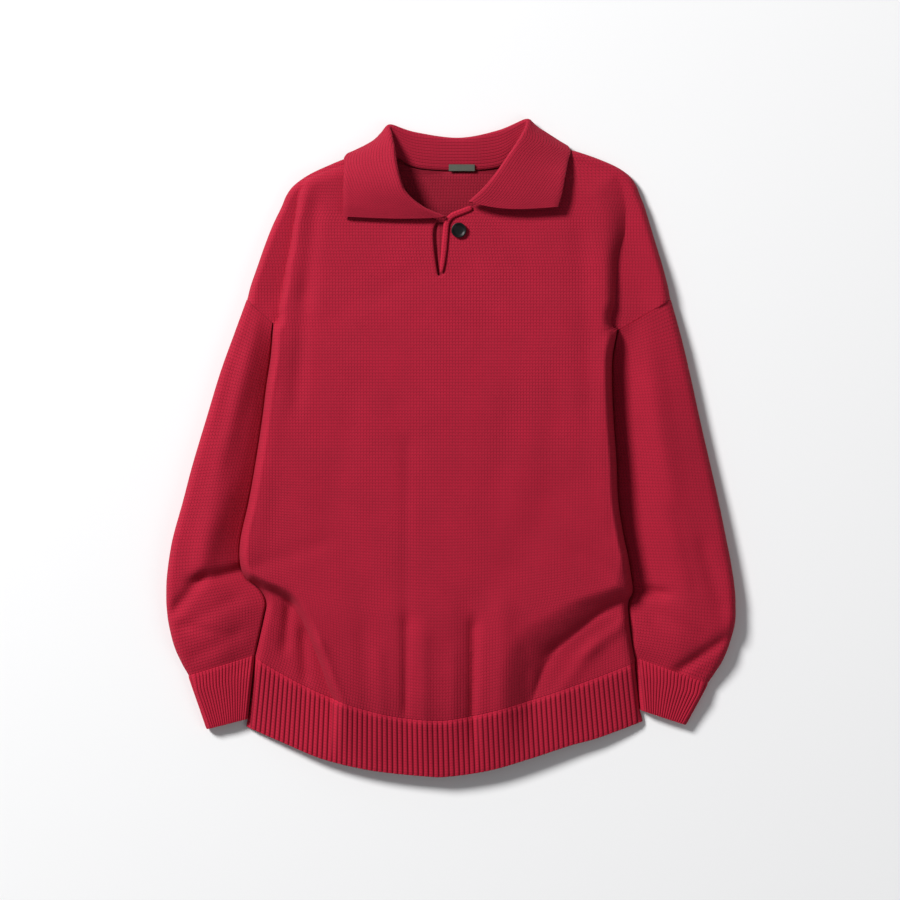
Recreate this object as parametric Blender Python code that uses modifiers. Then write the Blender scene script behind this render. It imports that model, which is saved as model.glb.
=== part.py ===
"""A knitted pullover with a polo collar, laid on its back on a flat surface.

Sizes are millimetres until a point is put in a mesh. X runs across the chest, Y from the hem to
the neck and Z up from the surface. The origin is on the surface, under the middle of the
garment. Left and right are those of a viewer who looks down on the front.
"""

import math

import bmesh
import bpy
import numpy as np

MM = 0.001

# ---------------------------------------------------------------- driving sizes
WALL = 2.5                # knitted panel
RIB_WALL = 2.2            # ribbing between its ribs
SLEEVE_WALL = 2.3
GAP = 0.3                 # between pieces that touch
SEAM_GAP = 0.5            # between two edges that are sewn together
SHIFT_ALONG = 0.3         # how much of its slant the inside of the front keeps along Y
SIDE_ROLL = 16.0          # how far in the rounded side of the body reaches
SHOULDER_ROLL = 8.0       # the same along the shoulder
SHOULDER_ROLL_FROM = 165.0
BASE = WALL + GAP         # height where the front meets the back

RIB_HEIGHT = 1.5          # how far a rib of the hem stands out
CUFF_RIB_HEIGHT = 1.2
HEM_RIBS = 78             # ribs across the front of the hem
HEM_ACROSS = 455.0        # length of the front hem along its upper edge
HEM_ROLL = 6.0            # how far in its rounded side reaches
HEM_MOUTH = 13.0          # how far the hem stands open at its middle
HEM_STEP = 0.8            # the hem lies this much under the knit that blouses over it
HEM_BACK_SHORT = 4.0      # the back of the hem ends this far short of the front
CUFF_RIBS = 17            # ribs across the top of a cuff
CUFF_TOP = 17.0           # height of a cuff where it leaves the sleeve
CUFF_MOUTH = 12.0         # the same at its open end
CUFF_EDGE_DROP = 1.0      # its two edges are lower than its middle
CUFF_INNER_ROLL = 3.4
CUFF_OUTER_ROLL = 5.0
SLEEVE_INNER_ROLL = 2.5
SLEEVE_INNER_SWELL = 2.0  # added to that roll away from the ends
SLEEVE_OUTER_ROLL = 9.0
BAND_WALL = 2.0

COLLAR_WALL = 2.4
FOLD_RADIUS = 3.2         # inside the collar's fold, to the middle of its wall
UNDER_LIFT = 3.5          # the back rises this much to lie on the collar
LIFT_AT = (9.0, 342.0)    # middle of the lifted part
LIFT_REACH = (152.0, 68.0)
LIFT_FADE = 0.3           # share of the reach over which it sinks back to the surface
LIFT_SPREAD = 1.08        # the front keeps clear of the lifted part this much further out

BUTTON_RADIUS = 8.7
BUTTON_HEIGHT = 3.4
BUTTON_RIM = 1.6
BUTTON_AT = (9.0, 250.0)
SHANK_RADIUS = 2.5
SHANK_HEIGHT = 1.2
EDGE_ROLL_RADIUS = 1.8

LABEL_SIZE = (31.0, 9.5, 0.8)
LABEL_AT = (12.5, 322.5)

# ---------------------------------------------------------------- outlines, columns x, y
SIDE_LEFT = [
    (-227, -240), (-223, -221), (-217, -195), (-214, -177), (-222, -162), (-236, -151),
    (-243, -135), (-243, -106), (-233, -60), (-225, -14), (-218, 32), (-213, 72),
    (-208, 105), (-204, 143),
]
SIDE_RIGHT = [
    (213, -246), (209, -221), (205, -182), (210, -166), (208, -147), (204, -123),
    (199, -100), (193, -60), (191, -14), (187, 44), (186, 101), (191, 135),
]
SHOULDER_LEFT = [
    (-235, 171), (-231, 187), (-223, 210), (-215, 233), (-206, 256), (-195, 279),
    (-190, 291), (-182, 302), (-167, 313), (-146, 322), (-122, 329), (-86, 343),
]
SHOULDER_RIGHT = [
    (253, 171), (250, 187), (244, 210), (237, 233), (230, 256), (223, 279),
    (218, 291), (214, 302), (206, 313), (191, 323), (169, 332), (140, 339), (98, 352),
]
HEM_BOTTOM = [
    (-236, -321), (-192, -340), (-148, -358), (-93, -371), (-28, -378), (-1, -378),
    (45, -371), (90, -358), (136, -343), (169, -334), (221, -315),
]

# Inner edges of the two halves, from the bottom of the slit to the shoulder, columns x, y.
SLIT_LEFT = [(-15, 198), (-19, 226), (-20, 250), (-15, 262)]
SLIT_RIGHT = [(-10, 198), (-7, 225), (-6, 248), (-5, 263)]
NECK_FRONT_LEFT = [(-15, 262), (-33, 268), (-48, 281), (-57, 296), (-64, 316), (-73, 336)]
NECK_FRONT_RIGHT = [(-5, 263), (1, 270), (14, 274), (30, 277), (47, 286), (63, 302),
                    (75, 322), (86, 344)]
NECK_BACK_LEFT = [(-3, 319), (-36, 321), (-57, 328), (-73, 336)]
NECK_BACK_RIGHT = [(21, 319), (54, 322), (73, 332), (86, 344)]

# Middle of the body's lower edge, x, y, for each half.
HEM_MIDDLE_LEFT = (-16, -313)
HEM_MIDDLE_RIGHT = (-9, -313)
# Columns beside the middle of the back, up to its neck.
BACK_MIDDLE_LEFT = [(-12, 180), (-8, 250), (-3, 319)]
BACK_MIDDLE_RIGHT = [(-4, 180), (4, 250), (21, 319)]

# Rolled edge of the raised middle of the front, columns x, y. Where it lies outside the body
# the side itself is the edge.
OUTSIDE_LEFT = -262
OUTSIDE_RIGHT = 262
EDGE_LEFT = [
    (-126, -316), (-132, -296), (-140, -278), (-146, -262), (-152, -244), (-159, -227),
    (-167, -206), (-177, -189), (-185, -178), (-200, -168), (-213, -163), (-231, -154),
    (OUTSIDE_LEFT, -140), (OUTSIDE_LEFT, 126), (-203, 141), (-197, 164), (-192, 187),
    (-189, 210), (-184, 233), (-181, 256), (-177, 279), (-172, 300), (-158, 314), (-60, 345),
]
EDGE_RIGHT = [
    (92, -305), (97, -284), (102, -267), (108, -250), (114, -238), (128, -227),
    (146, -212), (166, -195), (185, -184), (208, -171), (OUTSIDE_RIGHT, -150),
    (OUTSIDE_RIGHT, 120), (189, 136), (189, 170), (190, 193), (192, 222), (199, 245),
    (202, 268), (200, 291), (194, 308), (178, 322), (70, 352),
]

# Heights of the top of the front, columns y, raised middle, lower sides.
LEVELS = [
    (-320, 27, 13), (-295, 34, 14), (-265, 39, 15), (-230, 42, 17), (-195, 44, 20),
    (-160, 44, 22), (-60, 44, 22), (60, 42, 22), (143, 38, 22), (180, 35, 20),
    (225, 31, 18), (265, 28, 16), (300, 24, 14), (325, 19, 13), (350, 13, 11),
]
# Width of the rounding behind the rolled edge, columns y, left, right, share of soft fall at
# the right.
EDGE_WIDTHS = [
    (-320, 16, 34, 1.0), (-250, 14, 44, 1.0), (-190, 13, 34, 1.0), (-165, 14, 16, 0.3),
    (-120, 16, 16, 0.0), (120, 16, 16, 0.0), (170, 11, 12, 0.0), (260, 10, 12, 0.0),
    (320, 14, 16, 0.3), (350, 20, 20, 1.0),
]

# Troughs and ridges of the front, columns x0, y0, x1, y1, half width, height.
FRONT_FOLDS = [
    (-50, 0, -51, -200, 7, -1.2),
    (-51, -200, -52, -300, 6, -2.6),
    (-32, -215, -31, -313, 8, 2.0),
    (26, -205, 24, -309, 6, -5.5),
    (58, -190, 62, -301, 14, 3.0),
    (-186, -178, -191, -225, 6, -4.0),
    (-170, -218, -168, -262, 6, -3.5),
    (-156, 274, -167, 180, 9, -2.4),
    (-167, 180, -176, 60, 10, -2.2),
    (150, 240, 160, 60, 14, -1.8),
    (-130, -80, -90, -190, 22, -1.6),
    (120, -60, 60, -150, 26, -1.8),
    (-100, 190, 40, 120, 26, -1.4),
]

# ---------------------------------------------------------------- sleeves
# Columns inner y (its x follows the side of the body), outer x, y, then heights at the inner
# edge, the ridge and the outer edge.
SLEEVE_LEFT = [
    (141.5, -235.6, 170.3, 20, 20, 17),
    (108.0, -250.0, 131.0, 12, 22, 18),
    (74.0, -265.5, 88.0, 8, 23, 18),
    (32.0, -281.0, 37.0, 7, 24, 18),
    (-14.0, -298.0, -20.0, 7, 25, 19),
    (-60.0, -309.0, -62.0, 7, 26, 20),
    (-104.0, -321.0, -106.0, 8, 26, 21),
    (-135.0, -327.0, -145.0, 9, 25, 22),
    (-153.0, -328.0, -170.0, 10, 24, 22),
    (-166.0, -327.4, -186.0, 13, 25, 21),
    (-182.0, -325.0, -204.0, 15, 26, 21),
    (-201.0, -319.0, -228.0, 15, 25, 19),
    (-222.0, -310.5, -247.5, 14, 22, 17),
    (-238.5, -302.3, -262.0, 12, 17, 14),
]
SLEEVE_RIGHT = [
    (133.5, 253.5, 170.2, 20, 20, 17),
    (105.0, 266.0, 125.0, 11, 22, 18),
    (70.0, 277.0, 78.0, 7, 23, 18),
    (32.0, 287.0, 32.0, 6, 24, 18),
    (-14.0, 299.0, -20.0, 6, 25, 18),
    (-60.0, 308.0, -60.0, 6, 25, 19),
    (-102.0, 317.0, -104.0, 7, 25, 20),
    (-132.0, 323.0, -135.0, 8, 24, 20),
    (-158.0, 327.0, -163.0, 10, 24, 21),
    (-172.0, 327.8, -180.0, 13, 25, 21),
    (-188.0, 327.4, -200.0, 16, 26, 21),
    (-208.0, 322.0, -222.0, 17, 26, 20),
    (-227.0, 313.0, -245.0, 16, 23, 17),
    (-241.0, 296.0, -271.0, 12, 17, 14),
]
SLEEVE_CLEAR = 2.2        # between a sleeve and the side of the body
SLEEVE_FOLDS_LEFT = [
    (-238, -140, -289, -152, 7, -6.0),
    (-289, -152, -316, -184, 7, -4.5),
    (-262, -60, -284, -132, 13, 2.5),
    (-250, -215, -290, -238, 9, -2.0),
]
SLEEVE_FOLDS_RIGHT = [
    (214, -162, 240, -167, 6, -6.0),
    (292, -120, 309, -180, 10, -2.5),
    (268, -252, 312, -222, 7, -4.5),
    (232, 60, 246, -60, 16, 2.0),
]
# Cuffs, columns inner x, y, outer x, y, from the sleeve to the open end.
CUFF_LEFT = [
    (-228.6, -239.3, -302.1, -262.9),
    (-232.0, -275.0, -291.5, -293.0),
    (-236.6, -312.0, -281.0, -324.0),
]
CUFF_RIGHT = [
    (214.4, -241.8, 295.6, -271.9),
    (218.4, -272.0, 283.0, -295.0),
    (222.2, -302.0, 270.0, -319.0),
]

# ---------------------------------------------------------------- collar
# One strip, folded along its length. Columns base x, y, z (the sewn edge), fold x, y, z
# (middle of the fold), turn in degrees (0 falls over the front, 180 under the back), edge x,
# y, z (the free edge). It runs from the left point round the back to the right point.
COLLAR = [
    (-19, 267, 29.8, -9.5, 265.0, 32.6, 0, -123, 265.5, 33.0),
    (-34, 271.5, 29.6, -32, 276.5, 35.0, 0, -123, 282, 33.0),
    (-50, 284, 28.8, -50, 292, 37.0, 2, -123, 297, 31.0),
    (-59, 299, 26.6, -59.5, 307, 36.5, 8, -122.5, 311, 27.5),
    (-66, 319, 21.0, -66, 327, 31.0, 30, -122, 324, 20.0),
    (-69, 332, 15.5, -68.5, 346, 23.5, 62, -122.5, 334, 10.0),
    (-68, 335, 12.0, -68.5, 360, 15.5, 98, -115, 339, 2.2),
    (-62, 335, 9.4, -64, 369.5, 8.0, 135, -101, 321, 1.3),
    (-38, 323.5, 7.8, -42, 362, 4.7, 175, -62, 303, 1.3),
    (9, 320.5, 7.8, 9, 357.5, 4.5, 180, 9, 292, 1.3),
    (56, 324.5, 7.8, 55, 365, 4.7, 175, 84, 308, 1.3),
    (75, 342, 9.4, 81, 374.8, 8.0, 135, 119, 331, 1.3),
    (81, 345, 12.0, 87.5, 367, 15.5, 98, 131, 351, 2.2),
    (82, 344, 15.5, 87.5, 355.5, 23.5, 62, 137, 346, 10.0),
    (78, 325, 21.0, 81, 338, 31.5, 30, 134, 334, 22.0),
    (66, 305, 27.0, 67, 316, 37.5, 8, 130.5, 318, 33.0),
    (51, 291, 29.6, 49, 299, 39.0, 2, 127, 300, 37.5),
    (37, 286, 31.0, 27, 286.5, 37.5, 0, 124, 279.5, 38.5),
]
COLLAR_CELLS_ROUND = 44
COLLAR_CELLS_STAND = 3
COLLAR_CELLS_FOLD = 4
COLLAR_CELLS_FALL = 5

# Placket, columns x, y.
EDGE_ROLL_PATH = [(-6.5, 203), (-3.8, 226), (-2.6, 248), (-2.0, 260.5), (2.5, 267.0),
                  (13.5, 271.2), (22.5, 273.2)]
UNDER_BAND = (-29.0, 24.0, 188.0, 259.5)      # left, right, bottom, top

# ---------------------------------------------------------------- colours
RED = (0.36, 0.012, 0.028, 1.0)
DARK_RED = (0.28, 0.009, 0.022, 1.0)
BLACK = (0.010, 0.010, 0.012, 1.0)
GREY_GREEN = (0.10, 0.13, 0.10, 1.0)


# ---------------------------------------------------------------- curves and tables
def smooth_line(points, per_span=12):
    """Points along a smooth curve through the given ones, as an array of rows."""
    rows = np.array(points, dtype=float)
    ends = np.vstack([2 * rows[0] - rows[1], rows, 2 * rows[-1] - rows[-2]])
    out = []
    for k in range(len(rows) - 1):
        before, start, stop, after = ends[k], ends[k + 1], ends[k + 2], ends[k + 3]
        for t in np.arange(per_span) / per_span:
            curve = 2 * start + (stop - before) * t
            curve = curve + (2 * before - 5 * start + 4 * stop - after) * t * t
            curve = curve + (3 * start - before - 3 * stop + after) * t ** 3
            out.append(curve / 2)
    out.append(rows[-1])
    return np.array(out)


def along(line, share):
    """Points of a dense line at shares of its length, measured in its first two columns."""
    steps = np.hypot(*np.diff(line[:, :2], axis=0).T)
    length = np.concatenate([[0], np.cumsum(steps)])
    wanted = np.asarray(share) * length[-1]
    return np.stack([np.interp(wanted, length, line[:, c]) for c in range(line.shape[1])], -1)


def x_at(line, y):
    """The x of a line that climbs in y."""
    return np.interp(y, line[:, 1], line[:, 0])


def level(table, column, y):
    rows = np.array(table, dtype=float)
    return np.interp(y, rows[:, 0], rows[:, column])


def quarter_round(t):
    """Rises from 0 to 1 like the side of a round edge."""
    t = np.clip(t, 0.0, 1.0)
    return np.sqrt(1 - (1 - t) ** 2)


def soft_step(t):
    t = np.clip(t, 0.0, 1.0)
    return t * t * (3 - 2 * t)


def folds(table, x, y):
    """Sum of the troughs and ridges of a table at x, y."""
    total = np.zeros_like(x)
    for x0, y0, x1, y1, half_width, height in table:
        length = math.hypot(x1 - x0, y1 - y0)
        ux, uy = (x1 - x0) / length, (y1 - y0) / length
        run = ((x - x0) * ux + (y - y0) * uy) / length
        off = (x - x0) * uy - (y - y0) * ux
        beyond = np.maximum(0, np.maximum(-run, run - 1)) * length
        total += height * np.exp(-(off / half_width) ** 2 - (beyond / (2 * half_width)) ** 2)
    return total


SIDE_LEFT_LINE = smooth_line(SIDE_LEFT)
SIDE_RIGHT_LINE = smooth_line(SIDE_RIGHT)
SHOULDER_LEFT_LINE = smooth_line(SHOULDER_LEFT)
SHOULDER_RIGHT_LINE = smooth_line(SHOULDER_RIGHT)
EDGE_LEFT_LINE = np.array(EDGE_LEFT, dtype=float)
EDGE_RIGHT_LINE = np.array(EDGE_RIGHT, dtype=float)
HEM_BOTTOM_LINE = smooth_line(HEM_BOTTOM)

ARMPIT_LEFT_Y = SIDE_LEFT[-1][1]
ARMPIT_RIGHT_Y = SIDE_RIGHT[-1][1]
SLEEVE_SLOPE = -0.42      # how the outside of a sleeve leans outwards below the shoulder


def outline(y, side_line, shoulder_line, armpit_y, lean):
    """Outer x of the garment at y, past the armhole seam as far as the armpit."""
    top = x_at(shoulder_line, y)
    first = shoulder_line[0]
    top = np.where(y < first[1], first[0] + lean * (y - first[1]), top)
    return np.where(y > armpit_y, top, x_at(side_line, y))


def outline_left(y):
    return outline(y, SIDE_LEFT_LINE, SHOULDER_LEFT_LINE, ARMPIT_LEFT_Y, -SLEEVE_SLOPE)


def outline_right(y):
    return outline(y, SIDE_RIGHT_LINE, SHOULDER_RIGHT_LINE, ARMPIT_RIGHT_Y, SLEEVE_SLOPE)


def edge_left(y):
    return np.maximum(x_at(EDGE_LEFT_LINE, y), outline_left(y))


def edge_right(y):
    return np.minimum(x_at(EDGE_RIGHT_LINE, y), outline_right(y))


def lean_factor(line_at, y):
    """Turns a distance along x into one square to the line."""
    slope = (line_at(y + 2.0) - line_at(y - 2.0)) / 4.0
    return 1 / np.sqrt(1 + np.clip(slope, -4, 4) ** 2)


# ---------------------------------------------------------------- heights
def back_lift(x, y, spread=1.0):
    """How far the back is lifted by the part of the collar that lies under it."""
    reach = np.hypot((x - LIFT_AT[0]) / LIFT_REACH[0], (y - LIFT_AT[1]) / LIFT_REACH[1])
    return UNDER_LIFT * (1 - soft_step((reach / spread - 1) / LIFT_FADE))


def front_base(x, y):
    """Lowest place of the front, clear of the back all round its lifted part."""
    return back_lift(x, y, LIFT_SPREAD) + BASE


def front_height(x, y):
    """Top of the front panel."""
    base = front_base(x, y)
    middle = level(LEVELS, 1, y)
    sides = level(LEVELS, 2, y)
    in_left = (x - outline_left(y)) * lean_factor(outline_left, y)
    in_right = (outline_right(y) - x) * lean_factor(outline_right, y)
    roll = SIDE_ROLL + (SHOULDER_ROLL - SIDE_ROLL) * soft_step((y - SHOULDER_ROLL_FROM) / 30)
    low = (sides - base) * quarter_round(in_left / roll) * quarter_round(in_right / roll)
    left_width = level(EDGE_WIDTHS, 1, y)
    right_width = level(EDGE_WIDTHS, 2, y)
    soft = level(EDGE_WIDTHS, 3, y)
    t_left = (x - edge_left(y)) * lean_factor(edge_left, y) / left_width
    t_right = (edge_right(y) - x) * lean_factor(edge_right, y) / right_width
    rise_left = quarter_round(t_left)
    rise_right = (1 - soft) * quarter_round(t_right) + soft * soft_step(t_right)
    high = (middle - sides) * rise_left * rise_right
    near = np.minimum(in_left, in_right)
    crown = -3.0 * (x / 230) ** 2 * soft_step(near / 40)
    crease = folds(FRONT_FOLDS, x, y) * soft_step(near / 14)
    return base + low + high + crown + crease


def front_inside(x, y):
    """Highest place of the inner face of the front panel."""
    return front_height(x, y) - 0.85 * WALL


# ---------------------------------------------------------------- the body's grid
ROW_KNOTS = (0.0, 0.60, 0.67, 1.0)        # hem, armpit, top of armhole, neck
SLIT_START, SLIT_END = 0.725, 0.82
BACK_MIDDLE_START = 0.70


def outer_line(side_line, shoulder_line, v):
    """Outer edge of a panel: side, armhole seam, shoulder."""
    v = np.asarray(v)
    side = along(side_line, np.clip(v / ROW_KNOTS[1], 0, 1))
    seam_share = np.clip((v - ROW_KNOTS[1]) / (ROW_KNOTS[2] - ROW_KNOTS[1]), 0, 1)[:, None]
    seam = side_line[-1] * (1 - seam_share) + shoulder_line[0] * seam_share
    shoulder = along(shoulder_line, np.clip((v - ROW_KNOTS[2]) / (1 - ROW_KNOTS[2]), 0, 1))
    return np.where(v[:, None] < ROW_KNOTS[1], side,
                    np.where(v[:, None] < ROW_KNOTS[2], seam, shoulder))


def inner_line(bottom, slit, neck, v, slit_start, slit_end):
    """Inner edge of half a panel: the middle of the body, the slit, the neck."""
    v = np.asarray(v)
    body_share = np.clip(v / slit_start, 0, 1)[:, None]
    body = np.array(bottom) * (1 - body_share) + np.array(slit[0]) * body_share
    up = along(smooth_line(slit), np.clip((v - slit_start) / (slit_end - slit_start), 0, 1))
    round_neck = along(smooth_line(neck), np.clip((v - slit_end) / (1 - slit_end), 0, 1))
    return np.where(v[:, None] < slit_start, body,
                    np.where(v[:, None] < slit_end, up, round_neck))


def panel_rows():
    """Shares up the body at which both panels have their rows of points."""
    return np.concatenate([
        np.linspace(0, 0.045, 3)[:-1], np.linspace(0.045, ROW_KNOTS[1], 17)[:-1],
        [ROW_KNOTS[1], 0.628, 0.652, 0.663],
        np.linspace(ROW_KNOTS[2], SLIT_START, 3)[:-1],
        np.linspace(SLIT_START, SLIT_END, 5)[:-1], np.linspace(SLIT_END, 1, 7)])


def column_shares(outer, inner, edge_at, roll, roll_cells, side_cells, edge_cells, rest_cells):
    """Shares along one row at which its columns lie, close together where the cloth turns."""
    length = abs(inner[0] - outer[0])
    turn = min(roll, 0.14 * length)
    edge = min(max(abs(edge_at - outer[0]), turn + 8.0), 0.62 * length)
    edge = max(edge, 0.30 * length if length < 60 else 0)
    past = min(edge + 14.0, 0.80 * length)
    angles = np.linspace(0, math.pi / 2, roll_cells + 1)
    stops = list(turn * (1 - np.cos(angles)))
    stops += list(np.linspace(turn, edge, side_cells + 1)[1:])
    rise = np.linspace(0, math.pi / 2, edge_cells + 1)[1:]
    stops += list(edge + (past - edge) * (1 - np.cos(rise)))
    stops += list(np.linspace(past, length, rest_cells + 1)[1:])
    return np.array(stops) / length


def half_panel(outer, inner, edge_at_y, roll, bow, cells):
    """Grid of x, y between an outer and an inner line, one row for each pair of points."""
    rows = []
    for start, stop, amount in zip(outer, inner, bow):
        reach_y = start[1]
        for _ in range(3):
            edge_x = float(edge_at_y(np.array(reach_y)))
            share = abs(edge_x - start[0]) / max(1.0, abs(stop[0] - start[0]))
            reach_y = start[1] + (stop[1] - start[1]) * min(1.0, share)
        shares = column_shares(start, stop, edge_x, roll, *cells)
        eased = 1 - (1 - shares) ** amount
        x = start[0] + (stop[0] - start[0]) * shares
        y = start[1] + (stop[1] - start[1]) * eased
        rows.append(np.stack([x, y], -1))
    return np.array(rows)


def panel_grid(neck_left, neck_right, slit_left, slit_right, slit_start, slit_end, v, cells):
    """The x, y grid of a whole panel, and the column after which the slit lies."""
    left_outer = outer_line(SIDE_LEFT_LINE, SHOULDER_LEFT_LINE, v)
    right_outer = outer_line(SIDE_RIGHT_LINE, SHOULDER_RIGHT_LINE, v)
    left_inner = inner_line(HEM_MIDDLE_LEFT, slit_left, neck_left, v, slit_start, slit_end)
    right_inner = inner_line(HEM_MIDDLE_RIGHT, slit_right, neck_right, v, slit_start, slit_end)
    fade = np.clip(1 - v / 0.35, 0, 1)
    left = half_panel(left_outer, left_inner, edge_left, SHOULDER_ROLL, 1 + 0.9 * fade, cells)
    right = half_panel(right_outer, right_inner, edge_right, SHOULDER_ROLL, 1 + 0.35 * fade,
                       cells)
    grid = np.concatenate([left, right[:, ::-1]], axis=1)
    return grid, left.shape[1] - 1


# ---------------------------------------------------------------- Blender helpers
def clear_scene():
    for item in list(bpy.data.objects):
        bpy.data.objects.remove(item, do_unlink=True)


def make_material(name, colour, roughness):
    material = bpy.data.materials.new(name)
    material.use_nodes = True
    shader = material.node_tree.nodes["Principled BSDF"]
    shader.inputs["Base Color"].default_value = colour
    shader.inputs["Roughness"].default_value = roughness
    shader.inputs["Metallic"].default_value = 0.0
    return material


def add_object(name, mesh, collection, material):
    item = bpy.data.objects.new(name, mesh)
    collection.objects.link(item)
    mesh.materials.append(material)
    return item


def grid_mesh(name, points, closed=False, drop=None, ribs=None):
    """A mesh whose grid of vertices takes the places in points (rows, columns, 3).

    drop tells which cells to leave out, closed joins the last column to the first, and ribs
    holds how far each point is to be raised once the wall has its thickness.
    """
    rows, columns = points.shape[0], points.shape[1]
    bm = bmesh.new()
    rib_layer = bm.verts.layers.float.new("rib")
    bmesh.ops.create_grid(bm, x_segments=columns - 1, y_segments=rows - 1, size=1)
    bm.verts.ensure_lookup_table()
    for index, vertex in enumerate(bm.verts):
        vertex.co = points[index // columns, index % columns] * MM
        if ribs is not None:
            vertex[rib_layer] = ribs[index // columns, index % columns]
    if drop is not None:
        unwanted = []
        for face in bm.faces:
            corner = min(vertex.index for vertex in face.verts)
            if drop(corner // columns, corner % columns):
                unwanted.append(face)
        bmesh.ops.delete(bm, geom=unwanted, context="FACES")
    if closed:
        bmesh.ops.remove_doubles(bm, verts=bm.verts, dist=0.00001)
    mesh = bpy.data.meshes.new(name)
    bm.to_mesh(mesh)
    bm.free()
    mesh.shade_smooth()
    return mesh


def add_wall(item, wall, offset=-1.0):
    thick = item.modifiers.new("wall", "SOLIDIFY")
    thick.thickness = wall * MM
    thick.offset = offset
    thick.use_even_offset = False
    return thick


def finish_wall(item, lowest, highest=None):
    """Apply the wall, raise the ribs in its outer points alone, and keep the inner ones under
    highest(x, y). The edge is cut level where it would reach under lowest(x, y)."""
    outer_points = len(item.data.vertices)
    graph = bpy.context.evaluated_depsgraph_get()
    mesh = bpy.data.meshes.new_from_object(item.evaluated_get(graph))
    item.modifiers.clear()
    item.data = mesh
    ribs = mesh.attributes["rib"].data
    for vertex in mesh.vertices:
        inner = vertex.index >= outer_points
        if not inner:
            vertex.co.z += ribs[vertex.index].value * MM
        elif highest is not None:
            outer = mesh.vertices[vertex.index - outer_points].co
            vertex.co.y = outer.y + SHIFT_ALONG * (vertex.co.y - outer.y)
        x, y = np.array(vertex.co.x / MM), np.array(vertex.co.y / MM)
        if inner and highest is not None:
            vertex.co.z = min(vertex.co.z, float(highest(x, y)) * MM)
        vertex.co.z = max(vertex.co.z, float(lowest(x, y)) * MM)


def on_surface(x, y):
    return 0.0


def on_back_hem(x, y):
    return BASE


def with_height(flat, height):
    return np.concatenate([flat, height[..., None]], axis=-1)


# ---------------------------------------------------------------- pieces
def make_front(collection, material):
    v = panel_rows()
    flat, middle = panel_grid(NECK_FRONT_LEFT, NECK_FRONT_RIGHT, SLIT_LEFT, SLIT_RIGHT,
                              SLIT_START, SLIT_END, v, (3, 2, 3, 6))
    first_open = int(np.searchsorted(v, SLIT_START - 1e-6))
    points = with_height(flat, front_height(flat[..., 0], flat[..., 1]))
    mesh = grid_mesh("front_panel", points,
                     drop=lambda row, column: column == middle and row >= first_open)
    item = add_object("front_panel", mesh, collection, material)
    add_wall(item, WALL)
    finish_wall(item, front_base, front_inside)
    return points


def make_back(collection, material):
    v = panel_rows()
    flat, middle = panel_grid(NECK_BACK_LEFT, NECK_BACK_RIGHT, BACK_MIDDLE_LEFT,
                              BACK_MIDDLE_RIGHT, BACK_MIDDLE_START, SLIT_END, v, (1, 1, 1, 3))
    first_open = int(np.searchsorted(v, SLIT_END - 1e-6))
    points = with_height(flat, back_lift(flat[..., 0], flat[..., 1]) + WALL)
    mesh = grid_mesh("back_panel", points,
                     drop=lambda row, column: column == middle and row >= first_open)
    item = add_object("back_panel", mesh, collection, material)
    add_wall(item, WALL)


def hem_grid(body_edge, shares, rows, inset):
    """Grid of x, y of the hem, from its free edge up to the lower edge of the body."""
    top = along(body_edge, shares)[:, :2]
    bottom = along(HEM_BOTTOM_LINE, shares)
    run = bottom - top
    length = np.hypot(run[:, 0], run[:, 1])[:, None]
    top = top + run / length * SEAM_GAP
    bottom = bottom - run / length * inset
    return np.array([bottom + (top - bottom) * t for t in np.linspace(0, 1, rows + 1)])


def hem_height(flat, shares, top_height):
    """Top of the front hem: it falls from the body to an open mouth."""
    rows = flat.shape[0]
    side = np.minimum(shares, 1 - shares) * HEM_ACROSS
    mouth = BASE + 2.0 + HEM_MOUTH * np.clip(4 * shares * (1 - shares), 0, 1) ** 0.7
    out = []
    for t in np.linspace(0, 1, rows):
        plain = mouth + (top_height - mouth) * t ** 1.2
        out.append(BASE + (plain - BASE) * quarter_round(side / HEM_ROLL))
    return np.array(out)


def make_hem(collection, material, front_points):
    roll = np.array([0.0, 0.15, 0.45, 1.0]) * HEM_ROLL / HEM_ACROSS
    ribs = np.linspace(roll[-1], 1 - roll[-1], 2 * HEM_RIBS + 1)
    shares = np.concatenate([roll[:-1], ribs, 1 - roll[:-1][::-1]])
    flat = hem_grid(front_points[0], shares, 3, 0.0)
    top_height = along(front_points[0], shares)[:, 2] - HEM_STEP
    points = with_height(flat, hem_height(flat, shares, top_height))
    raised = np.zeros(points.shape[:2])
    raised[:, len(roll):len(roll) - 1 + 2 * HEM_RIBS:2] = RIB_HEIGHT
    mesh = grid_mesh("hem_rib_front", points, ribs=raised)
    item = add_object("hem_rib_front", mesh, collection, material)
    add_wall(item, RIB_WALL)
    finish_wall(item, on_back_hem)

    shares = np.linspace(0, 1, 21)
    flat = hem_grid(front_points[0], shares, 2, HEM_BACK_SHORT)
    points = with_height(flat, np.full(flat.shape[:2], RIB_WALL))
    item = add_object("hem_rib_back", grid_mesh("hem_rib_back", points), collection, material)
    add_wall(item, RIB_WALL)


def ring_places(inner_cells, top_cells, outer_cells, bottom_cells):
    """Places round a flattened tube: kind of stretch, and the share run along it."""
    places = [("inner", t) for t in np.arange(inner_cells) / inner_cells]
    places += [("top", t) for t in np.arange(top_cells) / top_cells]
    places += [("outer", t) for t in np.arange(outer_cells) / outer_cells]
    places += [("bottom", t) for t in np.arange(bottom_cells) / bottom_cells]
    places.append(("inner", 0.0))
    return places


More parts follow.
